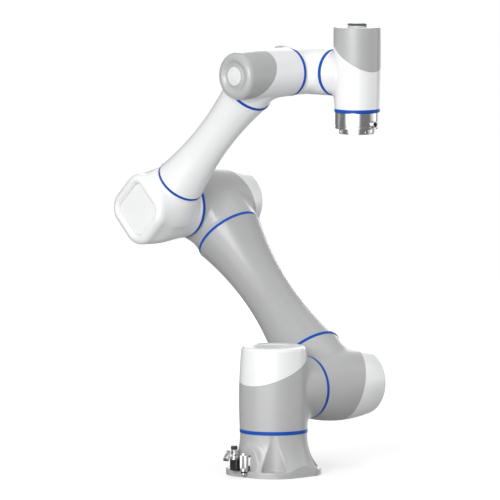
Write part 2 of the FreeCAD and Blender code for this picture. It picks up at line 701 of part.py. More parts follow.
def make_connectors():
    """Power connector with its latch, and the ribbed signal connector, on the boss."""
    up = Vector(0, 0, 1)
    across = Vector(1, 0, 0)
    block_low = "flange_thickness + contact_gap"
    block = box_between("power_block", (
        "power_x - power_block_width / 2", "-boss_face - power_block_depth", block_low,
    ), ("power_x + power_block_width / 2", "-boss_face", "power_block_high"))
    neck = cylinder_at("power_neck", "power_neck_radius", f"power_neck_high - ({block_low})", (
        "power_x", "-power_neck_y", block_low), up)
    knob = cylinder_at("power_knob", "power_knob_radius", f"power_knob_high - ({block_low})", (
        "power_x", "-power_neck_y", block_low), up)
    lug = box_between("power_lug", (
        "power_x - lug_width / 2", "-latch_pivot_y - lug_reach", "latch_pivot_z - lug_height / 2",
    ), ("power_x + lug_width / 2", "-power_neck_y", "latch_pivot_z + lug_height / 2"))
    pin = cylinder_at("power_pin", "latch_pin_radius", "latch_width", (
        "power_x - latch_width / 2", "-latch_pivot_y", "latch_pivot_z"), across)
    fuse("power_connector", [block, neck, knob, lug, pin])

    body = cylinder_at("signal_body", "signal_radius", "signal_high - signal_low", (
        "signal_x", "-signal_y", "signal_low"), up)
    end = cylinder_at("signal_end", "signal_end_radius", "signal_high - signal_end_low", (
        "signal_x", "-signal_y", "signal_end_low"), up)
    plate = box_between("signal_plate", (
        "signal_x - signal_plate_width / 2", "-boss_face - signal_plate_depth",
        "signal_plate_low",
    ), ("signal_x + signal_plate_width / 2", "-boss_face", "signal_plate_high"))
    stem = box_between("signal_stem", (
        "signal_x - signal_stem_width / 2", "-signal_y", "signal_stem_low",
    ), ("signal_x + signal_stem_width / 2", "-boss_face", "signal_stem_high"))
    fuse("signal_connector", [body, end, plate, stem])


def make_latch():
    """Forked latch lever on the power connector's pin, drawn outwards (x) and downwards (y)."""
    latch = new_body("power_latch")
    eye = new_sketch(latch, "XY_Plane", "eye", height="-latch_width / 2")
    draw_circle(eye, "latch_eye")
    pad(latch, "eye_pad", eye, "latch_width")
    arm = new_sketch(latch, "XY_Plane", "arm", height="-latch_width / 2")
    draw_outline(arm, [
        ("0", "0"), ("latch_eye", "0"), ("latch_out", "latch_down - latch_eye"),
        ("latch_out", "latch_down"), ("latch_out - latch_thickness", "latch_down"),
        ("0", "latch_eye"),
    ])
    pad(latch, "arm_pad", arm, "latch_width")
    fork = new_sketch(latch, "XY_Plane", "fork")
    draw_circle(fork, "latch_fork_radius")
    pocket(latch, "fork_cut", fork, "lug_width + 2 * contact_gap", side="Symmetric")
    bore = new_sketch(latch, "XY_Plane", "bore")
    draw_circle(bore, "latch_pin_radius + journal_gap")
    pocket(latch, "bore_cut", bore, side="Symmetric")
    place(latch, "latch")


def bevel(name, angle):
    """A section of the elbow's edge, that many degrees round the edge's radius."""
    inset = f"elbow_edge * (1 - cos({angle})) * bevel_share"
    return (name, f"elbow_lid_reach - elbow_edge * (1 - sin({angle}))",
            f"elbow_face_side - {inset}", f"elbow_face_corner - {inset}")


def make_elbow_casting():
    """Elbow casting: round at the joint, a rounded square at its outer face."""
    joint = "arm_plane - elbow_ring_reach - forearm_plane"
    casting = new_body("elbow_casting")
    nearly = "elbow_ring_radius - elbow_joint_flat"
    sections = (
        ("joint_end", f"-({joint}) + {FACE}", "elbow_ring_radius", nearly),
        ("widest", "elbow_mid_reach", "elbow_mid_side", "elbow_mid_corner"),
        bevel("edge_start", 0),
        bevel("edge_low", 35),
        bevel("edge_high", 65),
        bevel("outer_face", 90),
    )
    sketches = []
    for name, height, side, corner in sections:
        sketch = new_sketch(casting, "XY_Plane", name, height=height)
        draw_outline(sketch, rounded_square(side, corner))
        sketches.append(sketch)
    doc.recompute()
    loft = casting.newObject("PartDesign::AdditiveLoft", "elbow_casting_loft")
    loft.Profile = sketches[0]
    loft.Sections = sketches[1:]
    loft.Ruled = True
    settle(loft)

    reach = "forearm_collar - collar_band / 2"
    stub = new_sketch(casting, "YZ_Plane", "port")
    draw_circle(stub, "forearm_low_radius")
    pad(casting, "port_stub", stub, reach)

    recess = new_sketch(casting, "XY_Plane", "recess", height="elbow_lid_reach")
    draw_outline(recess, rounded_square("elbow_recess_side", "elbow_recess_corner"))
    pocket(casting, "recess_cut", recess, "elbow_recess_depth")
    floor = f"-({joint}) + {FACE} + web"
    ledge = "elbow_recess_side - elbow_ledge"
    behind = "elbow_lid_reach - elbow_recess_depth - elbow_ledge_depth"
    turn(casting, "hollow", [
        ("0", f"{floor} - web - overrun"), ("passage_radius", f"{floor} - web - overrun"),
        ("passage_radius", floor), ("elbow_cavity_radius", floor),
        ("elbow_cavity_radius", behind), (ledge, behind), (ledge, "elbow_lid_reach"),
        ("0", "elbow_lid_reach"),
    ], cut=True)
    bore = "forearm_low_radius - tube_wall"
    turn(casting, "port_bore", [
        ("0", "0"), (f"{reach} + overrun", "0"), (f"{reach} + overrun", bore), ("0", bore),
    ], cut=True, axis="H_Axis")
    place(casting, "elbow_casting")

    lid = new_body("elbow_lid")
    plate = new_sketch(lid, "XY_Plane", "plate", height="elbow_lid_reach - elbow_recess_depth")
    draw_outline(plate, rounded_square("elbow_recess_side - seam", "elbow_recess_corner - seam"))
    pad(lid, "plate_pad", plate, "elbow_lid_thickness")
    place(lid, "elbow_casting")


def make_tool_flange():
    """Machined tool flange with its own journal and flexspline cup, and its connector."""
    f = FAMILY["wrist_3"]
    ring = "-wrist_3_ring_reach"
    disc = f"{ring} + {f}_bearing_end"
    step = "-tool_reach + flange_pilot_height"
    flange = new_body("tool_flange")
    turn(flange, "section", [
        ("0", "-tool_reach + flange_centre_depth"),
        ("flange_centre_radius", "-tool_reach + flange_centre_depth"),
        ("flange_centre_radius", "-tool_reach"), ("flange_pilot_radius", "-tool_reach"),
        ("flange_pilot_radius", step), ("flange_body_radius", step),
        ("flange_body_radius", f"{ring} - {FACE}"), (f"{f}_hub_radius", f"{ring} - {FACE}"),
        (f"{f}_hub_radius", disc), (f"{f}_cup_radius", disc),
        (f"{f}_cup_radius", f"{ring} + {f}_spline_end"),
        (f"{f}_cup_radius - cup_wall", f"{ring} + {f}_spline_end"),
        (f"{f}_cup_radius - cup_wall", f"{disc} - cup_floor"),
        (f"{f}_hub_bore", f"{disc} - cup_floor"), (f"{f}_hub_bore", f"{ring} - web"),
        ("0", f"{ring} - web"),
    ])
    spread = "flange_bolt_circle * cos(45)"
    holes = new_sketch(flange, "XY_Plane", "bolt", height="-tool_reach")
    draw_circle(holes, "flange_bolt_radius", spread, spread)
    bolt_hole = pocket(flange, "bolt_hole", holes, "flange_bolt_depth", reverse=True)
    repeat_round(flange, bolt_hole, 4)
    seat = new_sketch(flange, "XZ_Plane", "plug_seat")
    back = "flange_body_radius - tool_plug_in"
    draw_outline(seat, [
        (f"-({back})", "-tool_plug_drop"), ("-far", "-tool_plug_drop"),
        ("-far", "-tool_plug_drop + tool_plug_radius"),
        (f"-({back})", "-tool_plug_drop + tool_plug_radius"),
    ])
    bore = flange.newObject("PartDesign::Groove", "tool_flange_plug_seat_cut")
    bore.Profile = seat
    bore.ReferenceAxis = (seat, ["Edge1"])
    bore.Angle = 360
    settle(bore)
    place(flange, "wrist_3")

    wide = "tool_plug_radius - tool_plug_gap"
    top = "tool_plug_in + tool_plug_out"
    plug = new_body("tool_connector")
    turn(plug, "section", [
        (wide, "0"), (wide, top), ("tool_socket_radius", top),
        ("tool_socket_radius", f"{top} - tool_socket_depth"),
        ("0", f"{top} - tool_socket_depth"), ("0", "0"),
    ])
    place(plug, "tool_plug")


def group_twins(kind):
    """The two identical inner parts of the upper arm, kept as one sub-part of two solids."""
    twins = [part for part in parts if part.Label in (f"shoulder_{kind}", f"elbow_{kind}")]
    for twin in twins:
        parts.remove(twin)
    group = doc.addObject("Part::Compound", f"upper_arm_{kind}s")
    group.Label = f"upper_arm_{kind}s"
    group.Links = twins
    parts.append(group)


FRAMES = rest_frames()
make_base()
make_connectors()
make_latch()
make_module("base_joint", f"arm_plane - shoulder_ring_reach - {FACE}", "web", "10")
make_module("shoulder", "shoulder_collar - collar_band / 2", None, None)
make_module("elbow", "elbow_collar - collar_band / 2", None, "6")
make_tube("upper_arm", "shoulder_collar", "(upper_arm_length - elbow_collar)",
          "upper_arm_end_radius", "upper_arm_end_radius", "upper_arm_waist")
make_elbow_casting()
make_tube("forearm", "forearm_collar", "(forearm_length - wrist_collar)",
          "forearm_low_radius", "forearm_high_radius", "forearm_waist")
make_module("wrist_1", "wrist_collar - collar_band / 2", None, None)
make_module("wrist_2", f"wrist_offset - forearm_plane - wrist_1_ring_reach - {FACE}", "web", None)
make_module("wrist_3", f"wrist_length - wrist_2_ring_reach - {FACE}", "web", None)
for joint in ("base_joint", "shoulder", "elbow", "wrist_1", "wrist_2"):
    make_hub(joint)
for joint in ("wrist_1", "wrist_2", "wrist_3"):
    make_badge(joint)
make_tool_flange()
for twin_kind in ("drive_board", "motor_stator", "gear_bearing"):
    group_twins(twin_kind)

doc.recompute()
for item in doc.Objects:
    assert not {"Invalid", "Error"} & set(item.State), f"{item.Name} failed: {item.State}"
os.makedirs("parts", exist_ok=True)
for part in parts:
    shape = part.Shape
    assert not shape.isNull() and shape.isValid() and shape.Volume > 0, part.Label
    shape.exportStep(f"parts/{part.Label}.step")
print(len(parts), "sub-parts")
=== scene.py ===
import json
import math

import bmesh
import bpy
import numpy as np
from mathutils import Matrix, Vector


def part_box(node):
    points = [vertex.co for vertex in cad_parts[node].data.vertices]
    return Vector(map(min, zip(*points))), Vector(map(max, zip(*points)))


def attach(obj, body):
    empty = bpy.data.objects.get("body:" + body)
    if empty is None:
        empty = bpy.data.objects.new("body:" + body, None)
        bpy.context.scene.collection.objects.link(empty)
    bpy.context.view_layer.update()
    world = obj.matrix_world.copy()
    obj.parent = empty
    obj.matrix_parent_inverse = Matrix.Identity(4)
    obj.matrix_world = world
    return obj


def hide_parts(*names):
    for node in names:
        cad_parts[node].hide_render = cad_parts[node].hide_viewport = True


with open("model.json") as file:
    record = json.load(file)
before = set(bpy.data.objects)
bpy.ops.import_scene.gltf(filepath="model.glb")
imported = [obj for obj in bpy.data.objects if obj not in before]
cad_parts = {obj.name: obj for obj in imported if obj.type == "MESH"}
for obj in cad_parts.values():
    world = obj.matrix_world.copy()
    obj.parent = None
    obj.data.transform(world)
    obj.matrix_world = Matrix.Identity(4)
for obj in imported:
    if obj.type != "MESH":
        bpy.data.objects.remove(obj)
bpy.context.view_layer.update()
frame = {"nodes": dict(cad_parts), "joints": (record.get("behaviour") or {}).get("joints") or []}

# Looks of a six-axis robot arm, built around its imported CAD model. Pieces are shaped in millimetres
# in the local frame of the part they stand for, and placed in the row frame in metres.

MM = 0.001
TAU = 2 * math.pi

# The same driving sizes as the CAD model, in mm.
ARM_REACH = {"shoulder_collar": 69.4, "elbow_collar": 76.6, "forearm_collar": 70.1, "wrist_collar": 46.5}
BAND = 6
COLLAR_BAND = 5
BAND_DEPTH = 4
BAND_EDGE = 0.3
RING_GAP = 0.5
SEAM = 0.35
WALL = {"housing": 4, "cap": 2.0, "tube": 4.5, "casting": 3.5}
BASE = {"side": 75, "corner": 54, "thick": 11, "edge": 1.6, "neck": 59.6, "flare": 90, "flare_top": 70,
        "pocket": 22, "pocket_at": 80.4, "bolt_at": 70, "bolt_hole": 4.5, "crease": 1.2,
        "plate_recess": 47.3, "plate_depth": 3.0}
BOSS = {"half": 26, "high": 56, "face": 68, "edge": 3, "blend": 9, "seat_gap": 1.5}
ELBOW = {"reach": 64, "edge": 14, "side": 55, "corner": 36, "mid_side": 59, "mid_corner": 48,
         "mid_at": 20, "square_from": 15, "ring_r": 57.4, "port": 44, "port_from": 15, "port_blend": 26,
         "port_fade": 12, "recess": 36,
         "recess_corner": 14, "recess_depth": 10, "recess_slope": 0.45, "recess_edge": 3.5,
         "recess_blend": 5, "lid": 2.5, "lid_gap": 0.45}

# Shape of each actuator module: radius at the ring, at the belly and at the end, rounding of the end,
# radius of the port, seam height and slope, dish radius and depth, and size of the port's blend.
SHAPES = {
    "base_joint": (59.6, 60.8, 57.2, 7, 56, 40.3, 0.46, 30, 1.5, 26),
    "shoulder": (55.5, 64.8, 60, 13, 60.5, 43, 0.39, 30, 1.5, 34),
    "elbow": (57.4, 63.4, 57.3, 13, 60, 41, 0.42, 30, 1.5, 34),
    "wrist_1": (42.4, 43.8, 42, 11, 42, 28.4, 0.62, 24, 3, 26),
    "wrist_2": (41.7, 42.5, 42, 8, 41.5, 38, 0.6, 24, 3, 26),
    "wrist_3": (39.8, 41.4, 41.5, 1.6, 41, 33.9, 0.684, 0, 0, 22),
}
SHAPE_NAMES = ("ring_r", "belly_r", "end_r", "edge", "port_r", "split", "slope", "dish_r", "dish", "blend")
GRID_STEP = {"large": 2.4, "small": 1.8, "base": 1.3, "elbow": 2.0}
PROBE = 0.05
SETTLE_ROUNDS = 8
CREASE_FADE = 14
BADGE_SEAT = 17.6
GROOVE_DROP = 1.6
SHARP_ANGLE = math.radians(32)


class Place:
    """A local frame: z and x axes and an origin in the row frame."""

    def __init__(self, origin, z_axis, x_axis):
        z_way = np.array(z_axis, float)
        x_way = np.array(x_axis, float)
        self.origin = np.array(origin, float)
        self.axes = np.stack([x_way, np.cross(z_way, x_way), z_way])

    def out(self, points):
        """Local millimetres to row-frame metres."""
        return self.origin + (np.asarray(points, float) * MM) @ self.axes

    def height(self, point):
        """How far a row-frame point lies along the local z, in mm."""
        return float((np.array(point) - self.origin) @ self.axes[2]) / MM


def middle(node):
    low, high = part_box(node)
    return (np.array(low) + np.array(high)) / 2


def module_places():
    """Local frames of modules, tubes and castings, from the joints and the CAD boxes."""
    at = {joint["name"]: np.array(joint["pos_m"]) for joint in frame["joints"]}
    shoulder_z = at["shoulder_turn"][2]
    elbow_x, _, elbow_z = at["elbow_turn"]
    wrist_x, _, wrist_z = at["wrist_1_turn"]
    tool_x, wrist_y, _ = at["wrist_3_turn"]
    arm_y = middle("upper_arm_tube")[1]
    fore_y = middle("forearm_tube")[1]
    shoulder = np.array([0, arm_y, shoulder_z])
    elbow = np.array([elbow_x, arm_y, elbow_z])
    elbow_front = np.array([elbow_x, fore_y, elbow_z])
    wrist = np.array([wrist_x, fore_y, wrist_z])
    arm_way = (elbow - shoulder) / np.linalg.norm(elbow - shoulder)
    fore_way = (wrist - elbow_front) / np.linalg.norm(wrist - elbow_front)
    x_way, y_way, z_way = np.eye(3)
    wrist_3_origin = [tool_x, wrist_y, wrist_z]
    places = {
        "base": Place([0, 0, 0], z_way, x_way),
        "base_joint": Place([0, 0, shoulder_z], z_way, y_way),
        "shoulder": Place(shoulder, y_way, arm_way),
        "upper_arm": Place(shoulder, arm_way, y_way),
        "elbow": Place(elbow, y_way, -arm_way),
        "elbow_casting": Place(elbow_front, -y_way, fore_way),
        "forearm": Place(elbow_front, fore_way, -y_way),
        "wrist_1": Place(wrist, -y_way, -fore_way),
        "wrist_2": Place([wrist_x, wrist_y, wrist_z], -x_way, -y_way),
        "wrist_3": Place(wrist_3_origin, z_way, -x_way),
    }
    lengths = {
        "upper_arm": np.linalg.norm(elbow - shoulder) / MM,
        "forearm": np.linalg.norm(wrist - elbow_front) / MM,
        "shoulder_side": arm_y / MM,
        "wrist_side": (wrist_y - fore_y) / MM,
        "tool_side": (tool_x - wrist_x) / MM,
    }
    return places, lengths


PLACES, LENGTHS = module_places()


def module_shape(name):
    """Sizes of one module: its style from SHAPES, its reaches from the CAD boxes."""
    shape = dict(zip(SHAPE_NAMES, SHAPES[name]))
    place = PLACES[name]
    shape["ring"] = -place.height(middle(f"{name}_accent_ring"))
    low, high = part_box(f"{name}_cap")
    shape["top"] = max(place.height(low), place.height(high))
    return shape


# ---- meshes

def smooth_min(a, b, k):
    """Union of two distances whose crease is filled over a width k."""
    k = np.maximum(k, 1e-6)
    h = np.maximum(k - np.abs(a - b), 0) / k
    return np.minimum(a, b) - h * h * k / 4


def smooth_max(a, b, k):
    return -smooth_min(-a, -b, k)


def fade(distance, width):
    """0 below zero distance, 1 past the width, smooth in between."""
    t = np.clip(distance / width, 0, 1)
    return t * t * (3 - 2 * t)


def rounded_square(x, y, side, corner):
    """Distance to a square of half size side with rounded corners."""
    u = np.abs(x) - (side - corner)
    v = np.abs(y) - (side - corner)
    return np.hypot(np.maximum(u, 0), np.maximum(v, 0)) + np.minimum(np.maximum(u, v), 0) - corner


def rounded_both(a, b, radius):
    """Intersection of two distances, with its edge rounded to a radius."""
    u = a + radius
    v = b + radius
    return np.minimum(np.maximum(u, v), 0) + np.hypot(np.maximum(u, 0), np.maximum(v, 0)) - radius


def gradient(field, points):
    """Field's slope at each point, by central differences."""
    slope = np.empty_like(points)
    for axis in range(3):
        shift = np.zeros(3)
        shift[axis] = PROBE
        slope[:, axis] = (field(points + shift) - field(points - shift)) / (2 * PROBE)
    return slope


def settle(field, points, quads, step):
    """Even out the points among their neighbours and move them onto the field's zero surface."""
    pairs = np.concatenate([quads[:, [i, (i + 1) % 4]] for i in range(4)])
    for turn in range(SETTLE_ROUNDS):
        last = turn == SETTLE_ROUNDS - 1
        if not last:
            total = np.zeros_like(points)
            count = np.zeros(len(points))
            for a, b in ((0, 1), (1, 0)):
                np.add.at(total, pairs[:, a], points[pairs[:, b]])
                np.add.at(count, pairs[:, a], 1)
            points = 0.5 * points + 0.5 * total / count[:, None]
        for _ in range(4 if last else 2):
            slope = gradient(field, points)
            size = np.maximum((slope * slope).sum(1), 0.05)
            move = -(field(points) / size)[:, None] * slope
            length = np.linalg.norm(move, axis=1, keepdims=True)
            points = points + move * np.minimum(1, step / np.maximum(length, 1e-9))
    return points


def surface_of(field, low, high, step):
    """Quads around the field's zero surface: one point in each grid cell that the surface crosses."""
    spans = [np.arange(a, b + step, step) for a, b in zip(low, high)]
    grid = np.stack(np.meshgrid(*spans, indexing="ij"), -1)
    count = grid.shape[:3]
    values = field(grid.reshape(-1, 3)).reshape(count)
    inside = values < 0
    offsets = np.array([(i, j, k) for i in (0, 1) for j in (0, 1) for k in (0, 1)])
    corners = sum(inside[i:count[0] - 1 + i, j:count[1] - 1 + j, k:count[2] - 1 + k].astype(int)
                  for i, j, k in offsets)
    mixed = (corners > 0) & (corners < 8)
    cells = np.argwhere(mixed)
    index = np.full(mixed.shape, -1)
    index[mixed] = np.arange(len(cells))
    total = np.zeros((len(cells), 3))
    hits = np.zeros(len(cells))
    for axis in range(3):
        way = np.eye(3, dtype=int)[axis]
        for offset in offsets[offsets[:, axis] == 0]:
            near = values[tuple((cells + offset).T)]
            far = values[tuple((cells + offset + way).T)]
            crossed = (near < 0) != (far < 0)
            share = near[crossed] / (near[crossed] - far[crossed])
            total[crossed] += offset + share[:, None] * way
            hits[crossed] += 1
    points = np.array(low) + step * (cells + total / hits[:, None])
    quads = []
    for axis in range(3):
        one, two = [(1, 2), (2, 0), (0, 1)][axis]
        first = inside.take(range(0, count[axis] - 1), axis)
        second = inside.take(range(1, count[axis]), axis)
        for entering in (False, True):
            edges = np.argwhere((first != second) & (first == entering))
            keep = (edges[:, one] > 0) & (edges[:, two] > 0)
            keep &= (edges[:, one] < count[one] - 1) & (edges[:, two] < count[two] - 1)
            edges = edges[keep]
            ring = []
            for a, b in ((-1, -1), (0, -1), (0, 0), (-1, 0)):
                around = edges.copy()
                around[:, one] += a
                around[:, two] += b
                ring.append(index[tuple(around.T)])
            quad = np.stack(ring, 1)
            quads.append(quad if entering else quad[:, ::-1])
    quads = np.concatenate(quads)
    return settle(field, points, quads, step), quads


def cut_off(made, point, normal):
    """Throw away what lies on the normal's side of a plane."""
    bmesh.ops.bisect_plane(made, geom=made.verts[:] + made.edges[:] + made.faces[:], dist=1e-4,
                           plane_co=point, plane_no=normal, clear_outer=True)


def trim(points, faces, planes):
    """Cut a mesh by planes (point, normal), throwing away what lies on each normal's side."""
    made = bmesh.new()
    verts = [made.verts.new(p) for p in points]
    for face in faces:
        made.faces.new([verts[i] for i in face])
    for point, normal in planes:
        cut_off(made, point, normal)
    bmesh.ops.remove_doubles(made, verts=made.verts, dist=0.02)
    return made


def close_shell(made, outer, inner_points):
    """Add an inner surface behind an open one, and quads that join the two along the rim."""
    inner = [made.verts.new(point) for point in inner_points]
    twin = dict(zip(outer, inner))
    rim = [edge.link_loops[0] for edge in made.edges if edge.is_boundary]
    rim = [(loop.vert, loop.link_loop_next.vert) for loop in rim]
    for face in made.faces[:]:
        made.faces.new([twin[vert] for vert in reversed(face.verts[:])])
    for first, second in rim:
        made.faces.new([second, first, twin[first], twin[second]])
    return made


def thicken(made, field, wall):
    """Close an open surface into a shell of that wall, inwards along the field's slope."""
    outer = made.verts[:]
    points = np.array([vert.co for vert in outer])
    slope = gradient(field, points)
    slope /= np.maximum(np.linalg.norm(slope, axis=1, keepdims=True), 1e-9)
    return close_shell(made, outer, points - wall * slope)


def piece(name, made, place, material, body, nodes=()):
    """A Blender object from a bmesh in local mm, placed, shaded and riding on its body."""
    bmesh.ops.recalc_face_normals(made, faces=made.faces)
    mesh = bpy.data.meshes.new(name)
    made.to_mesh(mesh)
    made.free()
    flat = np.empty(len(mesh.vertices) * 3)
    mesh.vertices.foreach_get("co", flat)
    mesh.vertices.foreach_set("co", place.out(flat.reshape(-1, 3)).ravel())
    mesh.polygons.foreach_set("use_smooth", [True] * len(mesh.polygons))
    mesh.set_sharp_from_angle(angle=SHARP_ANGLE)
    mesh.materials.append(material)
    mesh.update()
    thing = bpy.data.objects.new(name, mesh)
    bpy.context.scene.collection.objects.link(thing)
    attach(thing, body)
    if nodes:
        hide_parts(*nodes)
    return thing


def fitting(name, made, place, material, node, body="base"):
    """A piece of a connector, whose slot goes by its material."""
    piece(name, made, place, material, body, [node])


def round_corners(corners, steps=7):
    """A closed outline through corners (r, z, rounding), with each rounding as an arc."""
    outline = []
    count = len(corners)
    for i, corner in enumerate(corners):
        here = np.array(corner[:2], float)
        size = corner[2] if len(corner) > 2 else 0
        if size <= 0:
            outline.append(here)
            continue
        back = np.array(corners[i - 1][:2], float) - here
        ahead = np.array(corners[(i + 1) % count][:2], float) - here
        back /= np.linalg.norm(back)
        ahead /= np.linalg.norm(ahead)
        half = math.acos(np.clip(back @ ahead, -1, 1)) / 2
        reach = size / math.tan(half)
        centre = here + (back + ahead) / np.linalg.norm(back + ahead) * size / math.sin(half)
        start = here + back * reach - centre
        end = here + ahead * reach - centre
        first = math.atan2(start[1], start[0])
        sweep = (math.atan2(end[1], end[0]) - first + math.pi) % TAU - math.pi
        for t in np.linspace(0, 1, steps):
            outline.append(centre + size * np.array([math.cos(first + sweep * t),
                                                     math.sin(first + sweep * t)]))
    return np.array(outline)


def lathe(outline, segments=160, closed=True, made=None):
    """Turn an outline of (r, z) points about the local z axis."""
    made = made or bmesh.new()
    rows = []
    for radius, height in outline:
        if radius < 1e-4:
            rows.append([made.verts.new((0, 0, height))] * segments)
        else:
            rows.append([made.verts.new((radius * math.cos(TAU * i / segments),
                                         radius * math.sin(TAU * i / segments), height))
                         for i in range(segments)])
    pairs = list(zip(rows, rows[1:]))
    if closed:
        pairs.append((rows[-1], rows[0]))
    for low, high in pairs:
        for i in range(segments):
            j = (i + 1) % segments
            corners = list(dict.fromkeys((low[i], low[j], high[j], high[i])))
            if len(corners) > 2:
                made.faces.new(corners)
    return made


def turned(corners, segments, closed=False, steps=7):
    """A lathe mesh whose section goes through corners (r, z, rounding)."""
    return lathe(round_corners(corners, steps), segments, closed)


def cylinder(radius, low, high, segments):
    return lathe([(0, low), (radius, low), (radius, high), (0, high)], segments, closed=False)


def loft(rings, made=None):
    """A closed solid through rings that all have the same number of points."""
    made = made or bmesh.new()
    rings = [[made.verts.new(point) for point in ring] for ring in rings]
    for low, high in zip(rings, rings[1:]):
        for i in range(len(low)):
            j = (i + 1) % len(low)
            made.faces.new((low[i], low[j], high[j], high[i]))
    made.faces.new(rings[0][::-1])
    made.faces.new(rings[-1])
    return made


def box_mesh(low, high, bevel, made=None):
    """A bevelled block between two corners."""
    made = made or bmesh.new()
    new = bmesh.ops.create_cube(made, size=1)["verts"]
    low = Vector(low)
    high = Vector(high)
    for vert in new:
        vert.co = Vector(((vert.co.x + 0.5) * (high.x - low.x) + low.x,
                          (vert.co.y + 0.5) * (high.y - low.y) + low.y,
                          (vert.co.z + 0.5) * (high.z - low.z) + low.z))
    edges = list({edge for vert in new for edge in vert.link_edges})
    bmesh.ops.bevel(made, geom=edges, offset=bevel, segments=3, affect="EDGES", profile=0.5)
    return made


def add_mesh(made, extra, shift=(0, 0, 0)):
    """Move a bmesh and add it to another."""
    bmesh.ops.translate(extra, verts=extra.verts, vec=shift)
    mesh = bpy.data.meshes.new("extra")
    extra.to_mesh(mesh)
    extra.free()
    made.from_mesh(mesh)
    bpy.data.meshes.remove(mesh)


def on_circle(radius, angle):
    return radius * math.cos(angle), radius * math.sin(angle), 0


def cut_with(thing, cutter_mesh, place):
    """Boolean difference with a bmesh in local mm, applied."""
    cutter = piece(f"{thing.name}_cutter", cutter_mesh, place, thing.data.materials[0], "base")
    change = thing.modifiers.new("cut", "BOOLEAN")
    change.operation = "DIFFERENCE"
    change.solver = "EXACT"
    change.object = cutter
    bpy.context.view_layer.update()
    result = bpy.data.meshes.new_from_object(thing.evaluated_get(bpy.context.evaluated_depsgraph_get()))
    thing.modifiers.clear()
    thing.data = result
    result.set_sharp_from_angle(angle=SHARP_ANGLE)
    bpy.data.objects.remove(cutter)


# ---- materials

def shader_inputs(material):
    return material.node_tree.nodes["Principled BSDF"].inputs


def new_material(name, color, roughness, metallic=0.0, coat=0.0, coat_roughness=0.1):
    """A Principled material, with its constant values on the shader's own sockets."""
    material = bpy.data.materials.new(name)
    material.use_nodes = True
    values = {"Base Color": (*color, 1), "Roughness": roughness, "Metallic": metallic,
              "Coat Weight": coat, "Coat Roughness": coat_roughness}
    for socket, value in values.items():
        shader_inputs(material)[socket].default_value = value
    return material


def add_node(owner, kind, **values):
    """A shader node in a material or world, with values for its sockets."""
    node = owner.node_tree.nodes.new(kind)
    for name, value in values.items():
        node.inputs[name.replace("_", " ")].default_value = value
    return node


def link(owner, source, target):
    owner.node_tree.links.new(source, target)


def map_range(owner, source, span, ends):
    """A node that maps a value's span onto two ends."""
    node = add_node(owner, "ShaderNodeMapRange", From_Min=span[0], From_Max=span[1],
                    To_Min=ends[0], To_Max=ends[1])
    link(owner, source, node.inputs["Value"])
    return node


def object_noise(material, scale, detail=3.0, stretch=(1, 1, 1)):
    """Noise in object space, in metres, so that it stays with the piece in every pose."""
    coords = add_node(material, "ShaderNodeTexCoord")
    mapping = add_node(material, "ShaderNodeMapping", Scale=stretch)
    noise = add_node(material, "ShaderNodeTexNoise", Scale=scale, Detail=detail)
    link(material, coords.outputs["Object"], mapping.inputs["Vector"])
    link(material, mapping.outputs["Vector"], noise.inputs["Vector"])
    return noise.outputs["Fac"]


def vary(material, socket, source, low, high):
    """Drive one socket of the shader from a noise between two values."""
    spread = map_range(material, source, (0, 1), (low, high))
    link(material, spread.outputs["Result"], shader_inputs(material)[socket])


def vary_color(material, source, dark, light):
    """Drive the base colour from a noise between two tones."""
    ramp = add_node(material, "ShaderNodeValToRGB")
    ramp.color_ramp.elements[0].color = (*dark, 1)
    ramp.color_ramp.elements[1].color = (*light, 1)
    ramp.color_ramp.elements[0].position = 0.3
    ramp.color_ramp.elements[1].position = 0.7
    link(material, source, ramp.inputs["Fac"])
    link(material, ramp.outputs["Color"], shader_inputs(material)["Base Color"])


def add_bump(material, source, strength, distance):
    bump = add_node(material, "ShaderNodeBump", Strength=strength, Distance=distance)
    link(material, source, bump.inputs["Height"])
    link(material, bump.outputs["Normal"], shader_inputs(material)["Normal"])


def paint(name, color, roughness, coat):
    """Sprayed enamel: faint orange peel, a little variation of tone and gloss."""
    material = new_material(name, color, roughness, coat=coat, coat_roughness=0.2)
    tone = object_noise(material, 9, 2)
    vary_color(material, tone, [c * 0.975 for c in color], [min(c * 1.02, 1) for c in color])
    vary(material, "Roughness", object_noise(material, 60, 4), roughness * 0.9, roughness * 1.12)
    add_bump(material, object_noise(material, 900, 2), 0.06, 0.0002)
    return material


def metal(name, color, roughness, stretch=(1, 1, 1), scale=700, strength=0.12):
    """Turned or ground metal: fine marks along one direction."""
    material = new_material(name, color, roughness, metallic=1.0)
    marks = object_noise(material, scale, 3, stretch)
    vary(material, "Roughness", marks, roughness * 0.75, roughness * 1.3)
    vary_color(material, object_noise(material, 35, 3), [c * 0.93 for c in color], color)
    add_bump(material, marks, strength, 0.0002)
    return material


def moulded(name, color, roughness, coat=0.0):
    """Moulded plastic: fine spark-eroded grain."""
    material = new_material(name, color, roughness, coat=coat)
    vary_color(material, object_noise(material, 40, 3), [c * 0.88 for c in color], color)
    vary(material, "Roughness", object_noise(material, 260, 3), roughness * 0.85, roughness * 1.15)
    add_bump(material, object_noise(material, 2200, 2), 0.12, 0.0002)
    return material


